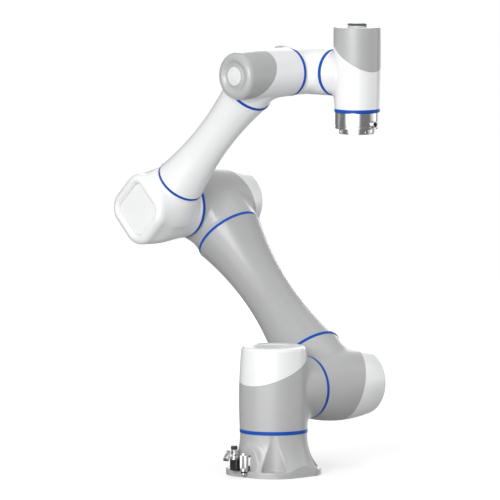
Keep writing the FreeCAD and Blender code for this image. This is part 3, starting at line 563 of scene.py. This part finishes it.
GREY = paint("grey_enamel", (0.455, 0.457, 0.46), 0.36, 0.4)
# A darker copy of the grey enamel for the upper-arm tube: painted shade, standing in for the darker look
# that the lamps don't give the tilted tube.
SHADED_TUBE_GREY = paint("tube_enamel_painted_shade", (0.405, 0.407, 0.41), 0.36, 0.4)
WHITE = paint("white_enamel", (0.86, 0.865, 0.87), 0.24, 0.5)
CAP_GREY = paint("wrist_cap_enamel", (0.44, 0.443, 0.446), 0.34, 0.4)
BLUE = moulded("blue_band", (0.008, 0.085, 0.46), 0.3)
shader_inputs(BLUE)["Specular IOR Level"].default_value = 0.15
POLISHED = metal("turned_aluminium", (0.80, 0.81, 0.82), 0.19, (1, 1, 90), 60, 0.05)
NICKEL = metal("nickel_plate", (0.80, 0.80, 0.81), 0.2)
STEEL = metal("screw_steel", (0.30, 0.30, 0.31), 0.34)
BLACK = moulded("black_plastic", (0.022, 0.022, 0.024), 0.42)
DARK = moulded("badge_dark", (0.035, 0.036, 0.038), 0.3, 0.3)
BADGE = moulded("badge_light", (0.78, 0.785, 0.79), 0.3, 0.3)
LID = paint("lid_enamel", (0.86, 0.865, 0.87), 0.3, 0.3)
GROUND = metal("ground_steel", (0.52, 0.52, 0.53), 0.26)
COPPER = metal("stator_copper", (0.62, 0.31, 0.14), 0.34, (1, 1, 14), 300, 0.6)
MAGNET = metal("rotor_steel", (0.34, 0.34, 0.36), 0.3)
BOARD = moulded("solder_mask", (0.015, 0.13, 0.055), 0.36, 0.3)
SHEET = metal("plate_aluminium", (0.62, 0.62, 0.63), 0.36)


# ---- actuator modules

def barrel_radius(shape, height):
    """Radius of a module's barrel, a shallow bulge between its ring and its rounded end."""
    low = -shape["ring"] + BAND / 2
    t = (height - low) / (shape["top"] - shape["edge"] - low)
    bulge = shape["belly_r"] - (shape["ring_r"] + shape["end_r"]) / 2
    return shape["ring_r"] + (shape["end_r"] - shape["ring_r"]) * t + bulge * 4 * t * (1 - t)


def housing_field(shape, reach):
    """Barrel and port, with a crease fill that dies out at the port's end, the seam and the ring."""
    ring_face = -shape["ring"] + BAND / 2
    tilt = math.hypot(1, shape["slope"])

    def field(points):
        x, y, z = points.T
        across = np.hypot(x, y)
        along = np.hypot(y, z)
        barrel = across - barrel_radius(shape, z)
        port = along - shape["port_r"] + np.maximum(0.35 * shape["belly_r"] - x, 0)
        foot = smooth_max(port, ring_face - z, np.clip(across - shape["ring_r"] - 1, 0, 9))
        port = np.where(across > shape["ring_r"] + 1, foot, port)
        parallel = y * y / np.maximum(across * along, 1)
        width = shape["blend"] * (1 - parallel) * fade(reach - x + 1, CREASE_FADE)
        width = width * fade((shape["split"] + shape["slope"] * x - z) / tilt, CREASE_FADE)
        width = width * fade(z - ring_face, CREASE_FADE)
        return smooth_min(barrel, port, width)

    return field


def seam_plane(shape, shift):
    """The slanting plane between housing and cap, moved along the barrel."""
    return (0, 0, shape["split"] + shift), Vector((-shape["slope"], 0, 1)).normalized()


def make_housing(name, reach, material, body):
    shape = module_shape(name)
    field = housing_field(shape, reach)
    step = GRID_STEP["small" if name.startswith("wrist") else "large"]
    wide = shape["belly_r"] + 3
    pad = 4 * step
    low = (-wide - pad, -wide - pad, -shape["ring"] - pad)
    high = (reach + 2 * pad, wide + pad, shape["split"] + shape["slope"] * wide + 2 * pad)
    points, quads = surface_of(field, low, high, step)
    point, normal = seam_plane(shape, -SEAM / 2)
    planes = [
        (point, normal),
        ((0, 0, -shape["ring"] + BAND / 2), (0, 0, -1)),
        ((reach, 0, 0), (1, 0, 0)),
    ]
    made = thicken(trim(points, quads, planes), field, WALL["housing"])
    return piece(f"{name}_shell", made, PLACES[name], material, body, [f"{name}_housing"])


def cap_outline(shape, low, dished):
    """Profile of an end cap from its lowest point to its centre."""
    edge = shape["edge"]
    shoulder = shape["top"] - edge
    rows = [(barrel_radius(shape, z), z) for z in np.linspace(low, shoulder, 24)]
    rows += [(shape["end_r"] - edge + edge * math.cos(a), shoulder + edge * math.sin(a))
             for a in np.linspace(0.12, math.pi / 2, 12)]
    return rows + dished


def thicken_lathe(made, wall):
    """Close a cut lathe surface into a shell, inwards along its own normals."""
    bmesh.ops.recalc_face_normals(made, faces=made.faces)
    made.normal_update()
    outer = made.verts[:]
    centre = sum((vert.co for vert in outer), Vector()) / len(outer)
    outward = sum(vert.normal.dot(vert.co - centre) for vert in outer)
    step = wall if outward > 0 else -wall
    return close_shell(made, outer, [vert.co - step * vert.normal for vert in outer])


def make_cap(name, material, body, dished):
    shape = module_shape(name)
    low = shape["split"] - shape["slope"] * (shape["belly_r"] + 2)
    made = lathe(cap_outline(shape, low, dished(shape)), closed=False)
    point, normal = seam_plane(shape, SEAM / 2)
    cut_off(made, point, -normal)
    thicken_lathe(made, min(WALL["cap"], shape["edge"] * 0.8))
    return piece(f"{name}_end_cap", made, PLACES[name], material, body, [f"{name}_cap"])


def shallow_dish(shape):
    """Flat end with a soft shallow dish."""
    top = shape["top"]
    depth = shape["dish"]
    rim = shape["dish_r"] + 4
    rows = [(rim + 3, top)]
    rows += [(rim - 8 * t, top - depth * fade(t, 1)) for t in np.linspace(0, 1, 8)]
    return rows + [(shape["dish_r"] * 0.5, top - depth), (0, top - depth)]


def grooved_dish(shape):
    """Raised rim, a step down into a groove, and a flat seat for the badge."""
    top = shape["top"]
    depth = shape["dish"]
    outer = shape["end_r"] - shape["edge"] - 0.6
    groove = shape["dish_r"] - 2
    floor = depth + GROOVE_DROP
    rows = [(outer - t * (outer - groove), top - floor * fade(t, 1)) for t in np.linspace(0, 1, 10)]
    rows += [(groove - t * (groove - BADGE_SEAT), top - floor + GROOVE_DROP * t)
             for t in np.linspace(0.2, 1, 5)]
    return rows + [(BADGE_SEAT - 2, top - depth), (0, top - depth)]


def plain_top(shape):
    """Flat top with a fine raised rim."""
    top = shape["top"]
    rim = shape["end_r"] - shape["edge"]
    return [(rim - 1.2, top), (rim - 1.8, top - 0.7), (20, top - 0.9), (0, top - 0.9)]


def band_outline(radius, height, width):
    """Section of a blue band: a plain strip whose outer edges are softened."""
    low = height - width / 2
    high = height + width / 2
    inner = radius - BAND_DEPTH
    return round_corners([(inner, low), (radius, low, BAND_EDGE), (radius, high, BAND_EDGE), (inner, high)])


def make_ring(name, body):
    """Accent ring, standing slightly proud of the barrel."""
    shape = module_shape(name)
    made = lathe(band_outline(shape["ring_r"] + 0.3, -shape["ring"], BAND))
    piece(f"{name}_light_ring", made, PLACES[name], BLUE, body, [f"{name}_accent_ring"])


def make_badge(name, body):
    """Plain round badge with a rounded rim and one turned groove, on the cap's seat."""
    shape = module_shape(name)
    radius = BADGE_SEAT - 1.1
    bottom = shape["top"] - shape["dish"]
    top = bottom + 2.2
    made = turned([
        (0, bottom), (radius, bottom, 0.3), (radius, top, 0.9), (radius * 0.72, top + 0.2),
        (radius * 0.69, top - 0.4), (radius * 0.62, top - 0.4), (radius * 0.59, top + 0.25),
        (0, top + 0.4),
    ], 96)
    piece(f"{name}_cap_badge", made, PLACES[name], BADGE, body, [f"{name}_badge"])


def make_top_knob(name, body):
    """Dark crowned disc on a light collar, with a thin white plate round it on a wrist's flat top; the
    plate is painted highlight for the light that brightens the top.
    """
    shape = module_shape(name)
    top = shape["top"]
    made = turned([
        (0, top + 2.6), (13, top + 2.6), (13, top + 3.2, 0.2), (20.4, top + 3.7, 0.5),
        (20.2, top + 4.7, 0.4), (15.2, top + 6.8, 1.2), (0, top + 7.4),
    ], 112)
    collar = turned([
        (0, top - 0.9), (17.5, top - 0.9), (17.5, top + 1.6, 0.8), (15.5, top + 3.1, 0.5), (0, top + 3.1),
    ], 112)
    piece(f"{name}_disc_collar", collar, PLACES[name], BADGE, body, [f"{name}_badge"])
    # The thin white plate over the grey top face is painted highlight: it stands in for the light falling
    # on the cap's top.
    rim = shape["end_r"] - shape["edge"] - 2.1
    plate = turned([
        (18.2, top - 0.8), (rim, top - 0.8), (rim, top + 0.15, 0.3), (18.2, top + 0.15, 0.3),
    ], 112, closed=True)
    piece(f"{name}_top_highlight_plate", plate, PLACES[name], WHITE, body, [f"{name}_badge"])
    piece(f"{name}_cap_disc", made, PLACES[name], DARK, body, [f"{name}_badge"])


def make_modules():
    """Shells, caps, rings and badges of the six modules."""
    face = BAND / 2 + RING_GAP
    ring = {name: module_shape(name)["ring"] for name in SHAPES}
    collar = COLLAR_BAND / 2
    rows = (
        ("base_joint", "shoulder_link", LENGTHS["shoulder_side"] - ring["shoulder"] - face, GREY, WHITE),
        ("shoulder", "upper_arm", ARM_REACH["shoulder_collar"] - collar, GREY, WHITE),
        ("elbow", "upper_arm", ARM_REACH["elbow_collar"] - collar, GREY, WHITE),
        ("wrist_1", "forearm", ARM_REACH["wrist_collar"] - collar, WHITE, CAP_GREY),
        ("wrist_2", "wrist_1_link", LENGTHS["wrist_side"] - ring["wrist_1"] - face, WHITE, CAP_GREY),
        ("wrist_3", "wrist_2_link", LENGTHS["tool_side"] - ring["wrist_2"] - face, WHITE, CAP_GREY),
    )
    ends = {"wrist_1": grooved_dish, "wrist_2": grooved_dish, "wrist_3": plain_top}
    for name, body, reach, shell_paint, cap_paint in rows:
        shell = make_housing(name, reach, shell_paint, body)
        cap = make_cap(name, cap_paint, body, ends.get(name, shallow_dish))
        make_ring(name, body)
        if name in ("wrist_1", "wrist_2"):
            make_badge(name, body)
    make_top_knob("wrist_3", "wrist_2_link")


# ---- arm tubes

def make_tube(label, body, material, start, end, low_r, high_r, waist):
    """Waisted tube between its two collars."""
    place = PLACES[label]
    low = start + COLLAR_BAND / 2
    high = end - COLLAR_BAND / 2
    outer = []
    for t in np.linspace(0, 1, 49):
        radius = low_r + (high_r - low_r) * t - waist * 4 * t * (1 - t)
        outer.append((radius, low + (high - low) * t))
    inner = [(radius - WALL["tube"], height) for radius, height in reversed(outer)]
    piece(f"{label}_tube_skin", lathe(outer + inner), place, material, body, [f"{label}_tube"])
    made = bmesh.new()
    for centre, radius in ((start, low_r), (end, high_r)):
        lathe(band_outline(radius + 0.4, centre, COLLAR_BAND), made=made)
    piece(f"{label}_blue_collars", made, place, BLUE, body, [f"{label}_accent_collars"])


# ---- base

def base_field(points):
    """Flared neck on a rounded-square flange, with corner pockets and the connector boss."""
    x, y, z = points.T
    across = np.hypot(x, y)
    drop = np.clip(BASE["flare_top"] - z, 0, BASE["flare"] - 1)
    radius = BASE["neck"] + BASE["flare"] - np.sqrt(BASE["flare"] ** 2 - drop ** 2)
    outline = rounded_square(x, y, BASE["side"], BASE["corner"])
    neck = np.maximum(across - radius, outline)
    oval = np.hypot(x, np.maximum(z - (BOSS["high"] - BOSS["half"]), 0)) - BOSS["half"]
    boss = rounded_both(np.maximum(oval, y), -BOSS["face"] - y, BOSS["edge"])
    body = smooth_min(neck, boss, BOSS["blend"])
    front = np.maximum(np.maximum(oval - BOSS["seat_gap"], y + BOSS["face"]), BASE["thick"] - z)
    body = smooth_max(body, -front, BOSS["seat_gap"])
    spread = BASE["pocket_at"] * math.sqrt(0.5)
    pocket = np.hypot(np.abs(x) - spread, np.abs(y) - spread) - BASE["pocket"]
    body = smooth_max(body, -pocket, BASE["crease"])
    flange = rounded_both(outline, z - BASE["thick"], BASE["edge"])
    return smooth_min(body, flange, BASE["crease"])


def make_base(top):
    """The base casting, cut flat below and at the first joint, with bolt holes and a plate recess."""
    pad = 8
    wide = BASE["side"] + pad
    points, quads = surface_of(base_field, (-wide, -wide, -pad), (wide, wide, top + pad), GRID_STEP["base"])
    made = trim(points, quads, [((0, 0, 0), (0, 0, -1)), ((0, 0, top), (0, 0, 1))])
    bmesh.ops.holes_fill(made, edges=[edge for edge in made.edges if edge.is_boundary], sides=0)
    place = PLACES["base"]
    casting = piece("base_casting_skin", made, place, GREY, "base", ["base_casting"])
    cutter = cylinder(BASE["plate_recess"], -5, BASE["plate_depth"], 96)
    spread = BASE["bolt_at"] * math.sqrt(0.5)
    for sx in (-1, 1):
        for sy in (-1, 1):
            hole = cylinder(BASE["bolt_hole"], -6, 40, 40)
            add_mesh(cutter, hole, (sx * spread, sy * spread, 0))
    cut_with(casting, cutter, place)


# ---- elbow casting

def elbow_field(joint_z):
    """Round at the joint, a soft rounded square outwards, a dished recess in its outer face."""
    reach = ELBOW["reach"]
    ring_r = ELBOW["ring_r"]
    edge = ELBOW["recess_edge"]

    def field(points):
        x, y, z = points.T
        t = fade(z - joint_z, ELBOW["mid_at"] - joint_z)
        s = fade(z - ELBOW["square_from"], reach - ELBOW["edge"] - ELBOW["square_from"])
        side = ring_r + (ELBOW["mid_side"] - ring_r) * t + (ELBOW["side"] - ELBOW["mid_side"]) * s
        corner = ring_r + (ELBOW["mid_corner"] - ring_r) * t + (ELBOW["corner"] - ELBOW["mid_corner"]) * s
        body = rounded_both(rounded_square(x, y, side, corner), z - reach, ELBOW["edge"])
        port = np.hypot(y, z) - ELBOW["port"] + np.maximum(ELBOW["port_from"] - x, 0)
        end = ARM_REACH["forearm_collar"] - COLLAR_BAND / 2
        width = ELBOW["port_blend"] * fade(end - x + 1, ELBOW["port_fade"])
        width = width * fade(z - joint_z, ELBOW["port_fade"])
        body = smooth_min(body, port, width)
        slope = ELBOW["recess_slope"] * (reach - z)
        hole = rounded_square(x, y, ELBOW["recess"] + edge, ELBOW["recess_corner"] + edge) + slope
        hole = np.maximum(hole, reach - ELBOW["recess_depth"] + ELBOW["lid"] - z)
        return smooth_max(body, -hole, ELBOW["recess_blend"])

    return field


def rounded_plate(side, corner, rows):
    """Rounded-square plate through rows of (inset, height)."""
    outline = []
    for quarter, (sx, sy) in enumerate(((1, 1), (-1, 1), (-1, -1), (1, -1))):
        for turn in np.linspace(0, math.pi / 2, 12) + quarter * math.pi / 2:
            outline.append(((side - corner) * sx + corner * math.cos(turn),
                            (side - corner) * sy + corner * math.sin(turn)))
    return loft([[(x * (1 - inset / side), y * (1 - inset / side), height) for x, y in outline]
                 for inset, height in rows])


def make_elbow():
    place = PLACES["elbow_casting"]
    ring = middle("elbow_accent_ring")
    joint_z = place.height(ring) + BAND / 2 + RING_GAP
    field = elbow_field(joint_z)
    end = ARM_REACH["forearm_collar"] - COLLAR_BAND / 2
    points, quads = surface_of(field, (-70, -70, joint_z - 9), (end + 9, 70, ELBOW["reach"] + 9),
                               GRID_STEP["elbow"])
    planes = [((0, 0, joint_z), (0, 0, -1)), ((end, 0, 0), (1, 0, 0))]
    made = thicken(trim(points, quads, planes), field, WALL["casting"])
    casting = piece("elbow_casting_skin", made, place, WHITE, "forearm", ["elbow_casting"])
    face = ELBOW["reach"] - ELBOW["recess_depth"] + ELBOW["lid"]
    side = ELBOW["recess"]
    corner = ELBOW["recess_corner"]
    gap = ELBOW["lid_gap"]
    cut_with(casting, rounded_plate(side + gap, corner + gap, ((0, face - 2.4), (0, face + 4))), place)
    lid = rounded_plate(side, corner, ((0, face - 2.3), (0, face - 0.4), (0.25, face - 0.1), (0.8, face)))
    piece("elbow_lid_plate", lid, place, LID, "forearm", ["elbow_lid"])


# ---- connectors

def at_point(origin, z_axis=(0, 0, 1), x_axis=(1, 0, 0)):
    return Place(np.array(origin, float) * MM, z_axis, x_axis)


def knurled(radius, low, high, ribs, depth):
    """Closed ribbed sleeve about z, its ribs rounded, with a plain lip at each end."""
    lip = 0.7
    count = ribs * 6
    shares = ((low, 0), (low + 0.8, 0), (low + 1.4, 1), (high - 1.4, 1), (high - 0.8, 0), (high, 0))
    rings = []
    for height, share in shares:
        ring = []
        for i in range(count):
            a = TAU * i / count
            r = radius - lip + share * (lip - depth * (0.5 + 0.5 * math.cos(a * ribs)))
            ring.append((r * math.cos(a), r * math.sin(a), height))
        rings.append(ring)
    return loft(rings)


def make_connectors():
    """Power connector with its forked latch, and the ribbed signal connector."""
    base = PLACES["base"]
    plug_low, plug_high = (np.array(corner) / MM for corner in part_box("power_connector"))
    pin = np.array(next(j for j in frame["joints"] if j["name"] == "latch_swing")["pos_m"]) / MM
    x = pin[0]
    wall = -BOSS["face"]
    neck_y = pin[1] + 11
    block = box_mesh((x - 9, wall - 18, plug_low[2]), (x + 9, wall, 32), 2.2)
    box_mesh((x - 10, wall - 4, plug_low[2]), (x + 10, wall, 33), 1.0, block)
    fitting("power_block", block, base, BLACK, "power_connector")
    neck_place = at_point((x, neck_y, 0))
    neck = turned([
        (0, 31), (7.5, 31, 0.6), (7.5, 36, 0.5), (6.7, 37, 0.3), (6.7, 39, 0.3), (7.5, 40, 0.5),
        (7.5, 47, 0.8), (6.3, 49, 0.4), (0, 49),
    ], 72)
    fitting("power_neck", neck, neck_place, NICKEL, "power_connector")
    knob = knurled(5.9, 48.6, plug_high[2], ribs=18, depth=0.5)
    fitting("power_knob", knob, neck_place, BLACK, "power_connector")
    lug = box_mesh((x - 3, pin[1] - 2, 41.5), (x + 3, neck_y, 48.5), 0.9)
    fitting("power_lug", lug, base, NICKEL, "power_connector")
    pin_place = at_point((x, pin[1], pin[2]), (1, 0, 0), (0, -1, 0))
    shaft = turned([
        (0, -6.4), (2.4, -6.4, 0.4), (2.4, -6.0), (1.5, -6.0), (1.5, 6.0), (2.4, 6.0), (2.4, 6.4, 0.4),
        (0, 6.4),
    ], 40, steps=4)
    fitting("power_latch_pin", shaft, pin_place, STEEL, "power_connector")

    # Latch: two cheeks on the pin, joined by a bow that ends in a dark grip.
    latch = bmesh.new()
    cheek = [(3.3 * math.cos(a), 3.3 * math.sin(a))
             for a in np.linspace(math.radians(150), math.radians(310), 14)]
    cheek += [(9.4, 9.0), (11, 12.6), (9.6, 14.4), (7.6, 13.6), (5.6, 9.4)]
    for low, high in ((-5.9, -3.4), (3.4, 5.9)):
        loft([[(px, py, z) for px, py in cheek] for z in (low, high)], latch)
    box_mesh((7.6, 9.6, -5.9), (10.6, 12.8, 5.9), 0.7, latch)
    fitting("latch_lever", latch, pin_place, NICKEL, "power_latch", "connector_latch")
    grip = box_mesh((8.0, 12.4, -6.0), (11.0, 15.0, 6.0), 1.0)
    fitting("latch_grip", grip, pin_place, BLACK, "power_latch", "connector_latch")

    low, high = (np.array(corner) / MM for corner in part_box("signal_connector"))
    sx = (low[0] + high[0]) / 2
    sy = low[1] + 7.3
    signal_place = at_point((sx, sy, 0))
    body = knurled(7.3, 16, high[2] - 3, ribs=26, depth=0.75)
    fitting("signal_coupling", body, signal_place, NICKEL, "signal_connector")
    top = high[2]
    rims = turned([
        (0, 11.4), (6.4, 11.4, 0.6), (6.9, 15.2, 0.5), (6.1, 16.4), (6.1, top - 3.4),
        (6.9, top - 2.6, 0.5), (6.2, top, 0.9), (0, top),
    ], 72)
    fitting("signal_barrel", rims, signal_place, NICKEL, "signal_connector")
    end = turned([
        (0, low[2]), (3.4, low[2], 0.9), (4.6, low[2] + 1.6, 0.6), (4.6, 9.2, 0.4), (0, 9.2),
    ], 64)
    fitting("signal_end_nut", end, signal_place, NICKEL, "signal_connector")
    seal = turned([(0, 8.6), (5.4, 8.6, 0.5), (5.4, 11.2, 0.5), (0, 11.2)], 64)
    fitting("signal_end_cap", seal, signal_place, BLACK, "signal_connector")
    plate = box_mesh((sx - 6.5, wall - 2, 13), (sx + 6.5, wall, 41), 0.7)
    box_mesh((sx - 3, sy + 2, 20), (sx + 3, wall - 0.5, 36), 0.8, plate)
    for height in (16, 38):
        screw = turned([
            (0, 0), (2.1, 0, 0.1), (2.1, 1.2, 0.5), (0.9, 1.2), (0.9, 0.5), (0, 0.5),
        ], 28, steps=4)
        screw_place = at_point((sx + 4.6, wall - 2, height), (0, -1, 0))
        fitting(f"signal_screw_{height}", screw, screw_place, STEEL, "signal_connector")
    fitting("signal_plate", plate, base, NICKEL, "signal_connector")


# ---- tool flange

def make_tool_flange():
    """Turned flange: body, pilot with bolt holes, centring bore, dowel hole and connector."""
    place = PLACES["wrist_3"]
    low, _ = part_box("tool_flange")
    face = place.height(low)
    ring = -module_shape("wrist_3")["ring"]
    back = ring - BAND / 2 - RING_GAP
    outline = round_corners([
        (0, face + 6.5), (15.75, face + 6.5), (15.75, face, 0.4), (31.5, face, 0.5),
        (31.5, face + 9), (37.9, face + 9, 0.4), (38.7, face + 9.8, 0.3), (38.7, face + 12.6, 0.2),
        (37.9, face + 13.2, 0.2), (37.9, face + 14.2, 0.2), (38.7, face + 14.8, 0.2), (38.7, back, 0.3),
        (33, back), (33, back - 4), (0, back - 4),
    ], 5)
    flange = piece("tool_flange_turned", lathe(outline, 192, closed=False), place, POLISHED, "tool",
                   ["tool_flange"])
    cutter = bmesh.new()
    # Four bolt holes and a dowel hole: circle radius, angle in degrees, hole radius, depth.
    holes = [(25, 45 + 90 * i, 3.0, 10.0) for i in range(4)] + [(25, 0, 3.0, 7.0)]
    for radius, angle, size, depth in holes:
        hole = lathe([(0, face - 2), (size + 0.5, face - 2), (size + 0.5, face), (size, face + 0.5),
                      (size, face + depth), (0, face + depth + 1.2)], 36, closed=False)
        add_mesh(cutter, hole, on_circle(radius, math.radians(angle)))
    for i in range(8):
        notch = box_mesh((30.3, -2.4, face + 2.6), (34, 2.4, face + 6.4), 0.4)
        turn = Matrix.Rotation(math.radians(22.5 + 45 * i), 3, "Z")
        bmesh.ops.rotate(notch, verts=notch.verts, cent=(0, 0, 0), matrix=turn)
        add_mesh(cutter, notch)
    cut_with(flange, cutter, place)

    low, high = (np.array(corner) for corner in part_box("tool_connector"))
    centre = (low + high) / 2
    start = Place([low[0], centre[1], centre[2]], (1, 0, 0), (0, 1, 0))
    length = (high[0] - low[0]) / MM
    barrel = turned([
        (0, 0), (5.9, 0), (5.9, 4.4), (6.9, 4.6, 0.3), (6.9, 6.2, 0.3), (5.6, 6.4), (5.6, 7.0),
        (5.9, 7.3, 0.2), (5.9, length, 0.5), (4.3, length, 0.3), (4.3, length - 5), (0, length - 5),
    ], 64, steps=4)
    fitting("tool_connector_shell", barrel, start, NICKEL, "tool_connector", "tool")
    insert = cylinder(4.2, length - 5, length - 3.6, 40)
    contacts = 7
    thin = 0.42
    for i in range(contacts):
        contact = lathe([(0, length - 3.6), (thin, length - 3.6), (thin, length - 1.2), (0, length - 0.8)],
                        12, closed=False)
        add_mesh(insert, contact, on_circle(2.5, TAU * i / contacts))
    fitting("tool_connector_insert", insert, start, BLACK, "tool_connector", "tool")


# ---- CAD nodes that stay

FINISHES = (("stator", COPPER), ("rotor", MAGNET), ("board", BOARD), ("hub", GROUND), ("bearing", GROUND),
            ("base_plate", SHEET))


def finish_inner_parts():
    """Procedural finishes for the CAD nodes inside the joints and under the base."""
    for name, node in frame["nodes"].items():
        material = next((finish for word, finish in FINISHES if word in name), None)
        if material:
            node.data.materials.clear()
            node.data.materials.append(material)


# ---- stage, light, camera

FLOOR_HALF = 30
GLOW_SPAN = (0.3, 3.0)
GLOW_ENDS = (0.515, 0.655)
CEILING = 0.66
# Bright panels on the world's walls: direction, cosines where each fades in, and its two strengths.
WORLD_PANELS = (
    (-26, (0.72, 0.9), (0.2, 1.9)),
    (92, (0.93, 0.98), (0, 0.6)),
    (155, (0.85, 0.98), (0, 1.0)),
)
BACKDROP = 1.1
LIGHT_CENTRE = Vector((-0.05, 0.05, 0.42))
CAMERA = {"lens": 809.4, "distance": 19.774, "elevation": 5.8, "azimuth": -45,
          "target": (-0.0576, -0.0013, 0.3916)}

def make_stage():
    """Plain pale floor, far larger than the view.

    Its glow, which only the camera sees, rises away from the arm to make up for the lamps' fall-off.
    """
    mesh = bpy.data.meshes.new("studio_floor")
    half = FLOOR_HALF
    mesh.from_pydata([(-half, -half, 0), (half, -half, 0), (half, half, 0), (-half, half, 0)], [],
                     [(0, 1, 2, 3)])
    floor = bpy.data.objects.new("studio_floor", mesh)
    bpy.context.scene.collection.objects.link(floor)
    material = new_material("studio_floor", (0.55, 0.55, 0.55), 0.9)
    inputs = shader_inputs(material)
    inputs["Specular IOR Level"].default_value = 0.0
    inputs["Emission Color"].default_value = (1, 1, 1, 1)
    path = add_node(material, "ShaderNodeLightPath")
    coords = add_node(material, "ShaderNodeTexCoord")
    distance = add_node(material, "ShaderNodeVectorMath")
    distance.operation = "LENGTH"
    link(material, coords.outputs["Object"], distance.inputs[0])
    lift = map_range(material, distance.outputs["Value"], GLOW_SPAN, GLOW_ENDS)
    glow = add_node(material, "ShaderNodeMath")
    glow.operation = "MULTIPLY"
    link(material, path.outputs["Is Camera Ray"], glow.inputs[0])
    link(material, lift.outputs["Result"], glow.inputs[1])
    link(material, glow.outputs[0], inputs["Emission Strength"])
    mesh.materials.append(material)
    floor.visible_glossy = False


def area_light(name, position, target, size, energy, size_y=None):
    data = bpy.data.lights.new(name, "AREA")
    data.shape = "RECTANGLE"
    data.size = size
    data.size_y = size_y or size
    data.energy = energy
    lamp = bpy.data.objects.new(name, data)
    lamp.location = position
    lamp.visible_camera = False
    lamp.rotation_euler = (Vector(target) - Vector(position)).to_track_quat("-Z", "Y").to_euler()
    bpy.context.scene.collection.objects.link(lamp)
    return lamp


def towards(degrees):
    """Level direction, in degrees to the right of the camera's own side of the object."""
    turn = math.radians(degrees - 45)
    return Vector((math.cos(turn), math.sin(turn), 0))


def world_value(world, direction, way, span, ends):
    """A value from one end to the other as the direction turns towards a way."""
    dot = add_node(world, "ShaderNodeVectorMath")
    dot.operation = "DOT_PRODUCT"
    dot.inputs[1].default_value = way
    link(world, direction, dot.inputs[0])
    spread = map_range(world, dot.outputs["Value"], span, ends)
    spread.interpolation_type = "SMOOTHSTEP"
    return spread.outputs["Result"]


def make_lights():
    """Soft studio light: a pale ceiling, dim walls with three bright panels, and four softboxes."""
    bpy.context.scene.view_settings.view_transform = "Standard"
    world = bpy.data.worlds.new("studio")
    bpy.context.scene.world = world
    world.use_nodes = True
    nodes = world.node_tree.nodes
    direction = add_node(world, "ShaderNodeTexCoord").outputs["Generated"]
    walls, *others = [world_value(world, direction, towards(turn), span, ends)
                      for turn, span, ends in WORLD_PANELS]
    for bright in others:
        both = add_node(world, "ShaderNodeMath")
        link(world, walls, both.inputs[0])
        link(world, bright, both.inputs[1])
        walls = both.outputs[0]
    rise = world_value(world, direction, (0, 0, 1), (0.1, 0.7), (0, 1))
    mix = add_node(world, "ShaderNodeMix")
    link(world, rise, mix.inputs[0])
    link(world, walls, mix.inputs[2])
    mix.inputs[3].default_value = CEILING
    surround = nodes["Background"]
    link(world, mix.outputs[0], surround.inputs["Strength"])
    surround.inputs["Color"].default_value = (1, 1, 1, 1)
    backdrop = add_node(world, "ShaderNodeBackground", Color=(1, 1, 1, 1), Strength=BACKDROP)
    choose = add_node(world, "ShaderNodeMixShader")
    link(world, add_node(world, "ShaderNodeLightPath").outputs["Is Camera Ray"], choose.inputs[0])
    link(world, surround.outputs[0], choose.inputs[1])
    link(world, backdrop.outputs[0], choose.inputs[2])
    link(world, choose.outputs[0], nodes["World Output"].inputs["Surface"])
    centre = LIGHT_CENTRE
    area_light("key_softbox", centre + towards(-20) * 2.8 + Vector((0, 0, 0.9)), centre, 1.5, 44)
    area_light("top_softbox", (0.2, 0.2, 3.0), centre, 2.2, 9)
    area_light("rim_softbox", centre + towards(105) * 2.6 + Vector((0, 0, 0.6)), centre, 0.9, 6, 1.8)
    area_light("back_softbox", centre + towards(172) * 2.8 + Vector((0, 0, 0.9)), centre, 1.5, 22)


def make_camera():
    """Long lens from the front right, a little above the horizon."""
    data = bpy.data.cameras.new("camera")
    camera = bpy.data.objects.new("camera", data)
    data.sensor_width = 36
    data.lens = CAMERA["lens"]
    data.clip_end = 200
    elevation = math.radians(CAMERA["elevation"])
    azimuth = math.radians(CAMERA["azimuth"])
    level = math.cos(elevation)
    back = Vector((level * math.cos(azimuth), level * math.sin(azimuth), math.sin(elevation)))
    camera.location = Vector(CAMERA["target"]) + back * CAMERA["distance"]
    camera.rotation_euler = back.to_track_quat("Z", "Y").to_euler()
    bpy.context.scene.collection.objects.link(camera)
    bpy.context.scene.camera = camera


make_modules()
# The upper-arm tube wears the darker copy of the grey enamel, which is painted shade.
make_tube("upper_arm", "upper_arm", SHADED_TUBE_GREY, ARM_REACH["shoulder_collar"],
          LENGTHS["upper_arm"] - ARM_REACH["elbow_collar"], 61, 61, 18.1)
make_tube("forearm", "forearm", WHITE, ARM_REACH["forearm_collar"],
          LENGTHS["forearm"] - ARM_REACH["wrist_collar"], 44, 42.8, 10.5)
base_top = middle("base_joint_accent_ring")[2] / MM - BAND / 2 - RING_GAP
make_base(base_top)
make_elbow()
make_connectors()
make_tool_flange()
finish_inner_parts()
make_stage()
make_lights()
make_camera()
